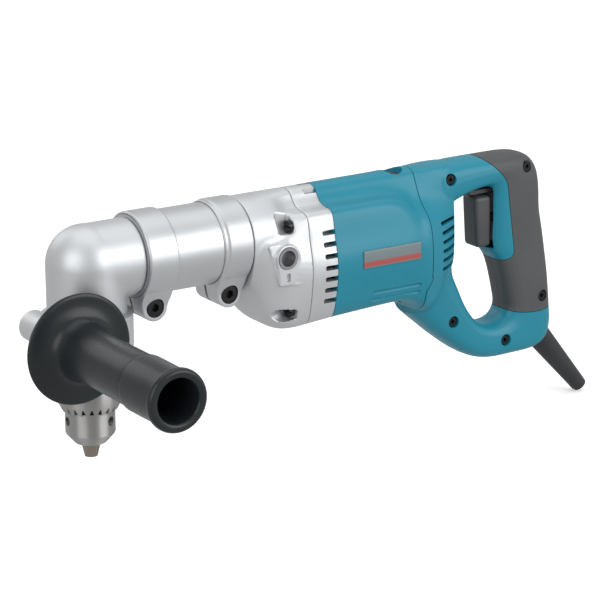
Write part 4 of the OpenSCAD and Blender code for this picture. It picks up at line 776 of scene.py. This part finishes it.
def makeHead():
    form = headForm
    bpy.ops.object.select_all(action="DESELECT")
    bpy.ops.mesh.primitive_uv_sphere_add(segments=turnSteps, ring_count=turnSteps // 2,
                                         radius=form["barrel"] * mm, location=spot(0, 0, 0))
    dome = bpy.context.object
    bpy.ops.object.transform_apply(location=True, rotation=True, scale=True)
    barrel = rodUpright(0, 0, form["drop"], 0, form["barrel"], turnSteps)
    neck = rodAlong(0, 0, 0, form["neckEnd"], form["neck"], turnSteps, form["edge"])
    head = joinPieces([barrel, dome, neck], "head")
    remesh(head, form["voxel"])
    near = head.vertex_groups.new(name="corner")
    for vert in head.data.vertices:
        p = vert.co * 1000 - Vector((0, 0, axisHeight))  # from the tool axis, in millimetres
        fromBarrel = abs(math.hypot(p.x, p.y) - form["barrel"])
        fromNeck = abs(math.hypot(p.y, p.z) - form["neck"])
        if p.z < form["filletTop"] and p.x > 0:
            share = 1.0 - max(fromBarrel, fromNeck) / form["fillet"]
            near.add([vert.index], max(0.0, share), "REPLACE")
    smooth(head, form["filletRounds"], vertex_group="corner")
    smooth(head, form["rounds"])
    low, high = acrossAll
    trim(head, [addBlock((low, low, low), (high, high, form["drop"])),
                addBlock((form["neckEnd"], low, low), (high, high, high))])
    spigot = rodAlong(0, 0, form["neckEnd"] - overlap, form["spigotEnd"], form["spigot"], 64, form["edge"])
    trim(head, [spigot], "UNION")
    cuts = [addRod(*bore) for bore in form["bores"]]
    for turn in (45, 135, 225, 315):
        a = math.radians(turn)
        x, y = form["screwRing"] * math.cos(a), form["screwRing"] * math.sin(a)
        cuts.append(rodUpright(x, y, *form["screwHole"]))
    trim(head, cuts)
    dress(head, "angleHead", "cast_metal", "angle_head", "angle_head")


makeGearCase()
makeGearCover()
makeHead()
print("gear casting and head finished")


# chuck sleeve: profile as radius and height, and the gaps between the key teeth round its lower edge
sleeveForm = {
    "profile": [
        (18.3, -108), (19.9, -108), (23.3, -101.5), (23.3, -87.5), (20.5, -87.5), (20.5, -105.4),
        (18.3, -105.4),
    ],
    "edge": 0.35, "teeth": 22,
    "gap": [(-2.25, -109), (2.25, -109), (0.5, -102.8), (-0.5, -102.8)], "gapSpan": (17.5, 26),
}


def makeSleeve():
    form = sleeveForm
    sleeve = turnPiece("sleeve", form["profile"], lambda p, c, s: spot(p[0] * c, p[0] * s, p[1]))
    roundEdges(sleeve, form["edge"], segments=3, angle=0.5)
    gaps = []
    for k in range(form["teeth"]):
        a = 2 * math.pi * k / form["teeth"]
        out, side = Vector((math.cos(a), math.sin(a), 0)), Vector((-math.sin(a), math.cos(a), 0))
        rings = [[spot(*(out * r + side * across + Vector((0, 0, z)))) for across, z in form["gap"]]
                 for r in form["gapSpan"]]
        gaps.append(loftPiece("gap", rings))
    trim(sleeve, [joinPieces(gaps, "gaps")])
    dress(sleeve, "toothedSleeve", "chuck_steel", "chuck_sleeve", "chuck_sleeve", angle=30)


# trigger: a block with heavy rounding whose face leans back towards the bottom,
# and its stem as y, z, start, end, radius and facets
triggerForm = {"low": (336.2, -9.3, -39.7), "high": (352.1, 9.3, 1.2), "edge": 3.4, "facets": 6, "lean": 2.6,
               "stem": (0, -19.2, 350, 366, 3.0, 32)}


def makeTrigger():
    form = triggerForm
    trigger = addBlock(form["low"], form["high"], form["edge"], form["facets"])
    low, high = spot(*form["low"]), spot(*form["high"])
    for vert in trigger.data.vertices:
        down = (high.z - vert.co.z) / (high.z - low.z)
        ahead = (high.x - vert.co.x) / (high.x - low.x)
        vert.co.x += form["lean"] * mm * down * ahead
    trim(trigger, [rodAlong(*form["stem"])], "UNION")
    dress(trigger, "triggerKey", "dark_plastic", "trigger", "trigger")


# side handle turned about its own axis: distance out from the tool's middle, and radius
sideHandleForm = {
    "axis": (-26.8, -49.3),
    "steps": 3,
    "profile": [
        (34.8, 6.05), (34.8, 20), (34.8, 37.6), (35.5, 39.6), (36.6, 40.3), (37.6, 39.9),
        (38.3, 38.2), (38.5, 34), (39, 29.8), (40.4, 25.4), (43.4, 22), (48.6, 20), (56, 19.3),
        (80, 19.2), (105, 19.3), (127.4, 19.3), (128.2, 18.8), (128.9, 18.8), (129.4, 20.3),
        (131.4, 20.6), (150, 20.5), (165.4, 20.2), (167, 20.4), (168, 21.5), (169.6, 22.25),
        (171.6, 22.35), (173.6, 21.7), (174.6, 20.4), (174.75, 18.8), (174.4, 16.9), (173.2, 15.9),
        (170, 15.6), (150, 15.5), (106, 15.4), (105, 14.6), (105, 6.05),
    ],
}


def makeSideHandle():
    form = sideHandleForm
    x, z = form["axis"]
    line = curveThrough([Vector(p) for p in form["profile"]], form["steps"], True)
    handle = turnPiece("sideHandle", line, lambda p, c, s: spot(x + p.y * c, -p.x, z + p.y * s))
    dress(handle, "sideHandle", "slate_plastic", "angle_head", "side_handle_grip", angle=40)


makeSleeve()
makeTrigger()
makeSideHandle()

# painted shade: the chuck body gets a near-black band where the sleeve's teeth let its inside be seen
chuckPaintedShade = dict(finishes["chuck_steel"], band=(0.0364, 0.0560, color(0.012, 0.012, 0.012)))
paint(nodes["chuck_body"], makeFinish("chuckBodyWithPaintedShade", chuckPaintedShade))
paint(nodes["chuck_nut"], made["black_steel"])
print("chuck, trigger and side handle finished")


# clamps: band profile as distance along the pipe and radius, strap as y and z across the tool,
# bolts and their holes as start, end, radius, facets and edge
clampForm = {
    "front": {"name": "frontClamp", "node": "front_clamp", "start": 34.8,
              "profile": [
                  (0, 30.3), (0, 31.6), (0.8, 32.35), (23.2, 32.35), (24, 31.6), (24, 30.3),
              ]},
    "rear": {"name": "rearClamp", "node": "rear_clamp", "start": 97.2,
             "profile": [
                 (0, 30.3), (0, 31), (0.5, 31.4), (3.2, 31.5), (3.8, 32.2), (4.4, 32.35),
                 (23.2, 32.35), (24, 31.6), (24, 30.3),
             ]},
    "width": 24.0, "bore": 30.3, "voxel": 0.6, "rounds": 3,
    "strap": [
        (-26.4, -16.6), (-17.2, -32.4), (-16, -36), (-16, -60), (16, -60), (16, -36), (17.2, -32.4),
        (26.4, -16.6),
    ],
    "ear": {"radius": 10.2, "arc": (186, 355, 8), "top": -10, "shoulder": -30, "inset": 0.2,
            "span": (-40, 40)},
    "slit": ((-1.3, -60), (1.3, -15)),
    "boltZ": -36.95, "shankHole": (-40, 40, 3.1, 32), "seat": (-40, -10.0, 7.3),
    "boltHead": (-15.9, -10.1, 6.9, 64, 0.9), "boltShank": (-11.0, 12.9, 2.95, 32, 0.5),
    "boltSocket": (-16.9, -12.3, 3.3, 6),
}


def earOutline(form, start):
    ear, middle = form["ear"], start + form["width"] / 2
    low, high = start + ear["inset"], start + form["width"] - ear["inset"]
    arc = [math.radians(a) for a in range(*ear["arc"])]
    line = [(low, ear["top"]), (low, ear["shoulder"])]
    for a in arc:
        line.append((middle + ear["radius"] * math.cos(a), form["boltZ"] + ear["radius"] * math.sin(a)))
    return line + [(high, ear["shoulder"]), (high, ear["top"])]


def makeClamp(form, name, node, start, profile):
    end, middle = start + form["width"], start + form["width"] / 2
    clamp = turnPiece(name, profile, lambda p, c, s: spot(start + p[0], p[1] * c, p[1] * s))
    strap = loftPiece("strap", [[spot(x, y, z) for y, z in form["strap"]] for x in (start, end)])
    trim(strap, [addPlate(earOutline(form, start), *form["ear"]["span"])], "INTERSECT")
    trim(clamp, [strap], "UNION")
    trim(clamp, [rodAlong(0, 0, start - overlap, end + overlap, form["bore"], turnSteps)])
    remesh(clamp, form["voxel"])
    smooth(clamp, form["rounds"])
    (left, bottom), (right, top) = form["slit"]
    cuts = [rodAlong(0, 0, start - overlap, end + overlap, form["bore"], turnSteps),
            addBlock((start - overlap, left, bottom), (end + overlap, right, top))]
    cuts += [rodAcross(middle, form["boltZ"], *form[kind]) for kind in ("shankHole", "seat")]
    trim(clamp, cuts)
    dress(clamp, name, "pipe_metal", "motor_unit", node)


def makeClampBolts(form):
    bolts = []
    for place in ("front", "rear"):
        x = form[place]["start"] + form["width"] / 2
        bolt, shank, socket = (rodAcross(x, form["boltZ"], *form[kind])
                               for kind in ("boltHead", "boltShank", "boltSocket"))
        trim(bolt, [shank], "UNION")
        trim(bolt, [socket])
        bolts.append(bolt)
    dress(joinPieces(bolts, "clampBolts"), "clampBolts", "black_steel", "motor_unit", "clamp_bolts")


for place in ("front", "rear"):
    makeClamp(clampForm, **clampForm[place])
makeClampBolts(clampForm)
print("clamps finished")


# camera of the photograph
cameraSetup = {"place": (-0.8491, -1.5934, 0.6492), "azimuth": -32.87, "elevation": 16.51, "roll": -0.37,
               "lens": 158.4, "sensor": 36.0, "farthest": 50.0}


def addCamera(setup):
    a, e = math.radians(setup["azimuth"]), math.radians(setup["elevation"])
    back = Vector((math.sin(a) * math.cos(e), -math.cos(a) * math.cos(e), math.sin(e)))
    right = Vector((math.cos(a), math.sin(a), 0.0))
    roll = Matrix.Rotation(math.radians(setup["roll"]), 3, "Z")
    turn = Matrix((right, back.cross(right), back)).transposed() @ roll
    bpy.ops.object.camera_add(location=setup["place"], rotation=turn.to_euler())
    camera = bpy.context.object
    camera.data.lens = setup["lens"]
    camera.data.sensor_width = setup["sensor"]
    camera.data.clip_end = setup["farthest"]
    bpy.context.scene.camera = camera


# soft boxes: place, aim, size and power
lightSetup = {
    "leftBox": ((-2.0, -0.9, 1.0), (0.1, 0.0, 0.1), 1.8, 21.0),
    "frontBox": ((1.45, -2.0, 1.0), (0.2, 0.0, 0.1), 1.9, 36.0),
    "topBox": ((0.3, 0.2, 2.1), (0.2, 0.0, 0.1), 2.4, 16.5),
    "backBox": ((-0.4, 1.9, 1.2), (0.2, 0.0, 0.1), 1.2, 5.0),
}
white = color(1.0, 1.0, 1.0)
roomLight = 0.6


def addLights(setup):
    for name, (place, aim, size, power) in setup.items():
        turn = (Vector(place) - Vector(aim)).to_track_quat("Z", "Y").to_euler()
        bpy.ops.object.light_add(type="AREA", location=place, rotation=turn)
        light = bpy.context.object
        light.name = name
        light.data.size = size
        light.data.energy = power
    world = bpy.data.worlds.new("studio")
    bpy.context.scene.world = world
    world.use_nodes = True
    background = world.node_tree.nodes["Background"]
    background.inputs["Color"].default_value = white
    background.inputs["Strength"].default_value = roomLight
    bpy.context.scene.view_settings.view_transform = "Standard"


# white paper just under the tool, which throws no light back on it
floorSetup = {
    "size": 12.0, "middle": (0.2, 0.0), "below": 0.0005, "cloudScale": 3.0,
    "tones": (color(0.96, 0.96, 0.96), color(0.98, 0.98, 0.98)),
    "fixed": {"Roughness": 0.8, "Specular IOR Level": 0.1, "Emission Color": white, "Emission Strength": 0.2},
}


def addFloor(setup):
    place = (*setup["middle"], cadBox[0][2] - setup["below"])
    bpy.ops.mesh.primitive_plane_add(size=setup["size"], location=place)
    floor = bpy.context.object
    floor.name = "floor"
    floor.visible_diffuse = False
    floor.visible_glossy = False
    paper = Finish("paper", setup["fixed"])
    paper.drive("Base Color", paper.blend(paper.noise(setup["cloudScale"]), *setup["tones"]))
    floor.data.materials.append(paper.material)


addCamera(cameraSetup)
addLights(lightSetup)
addFloor(floorSetup)
print("studio ready")
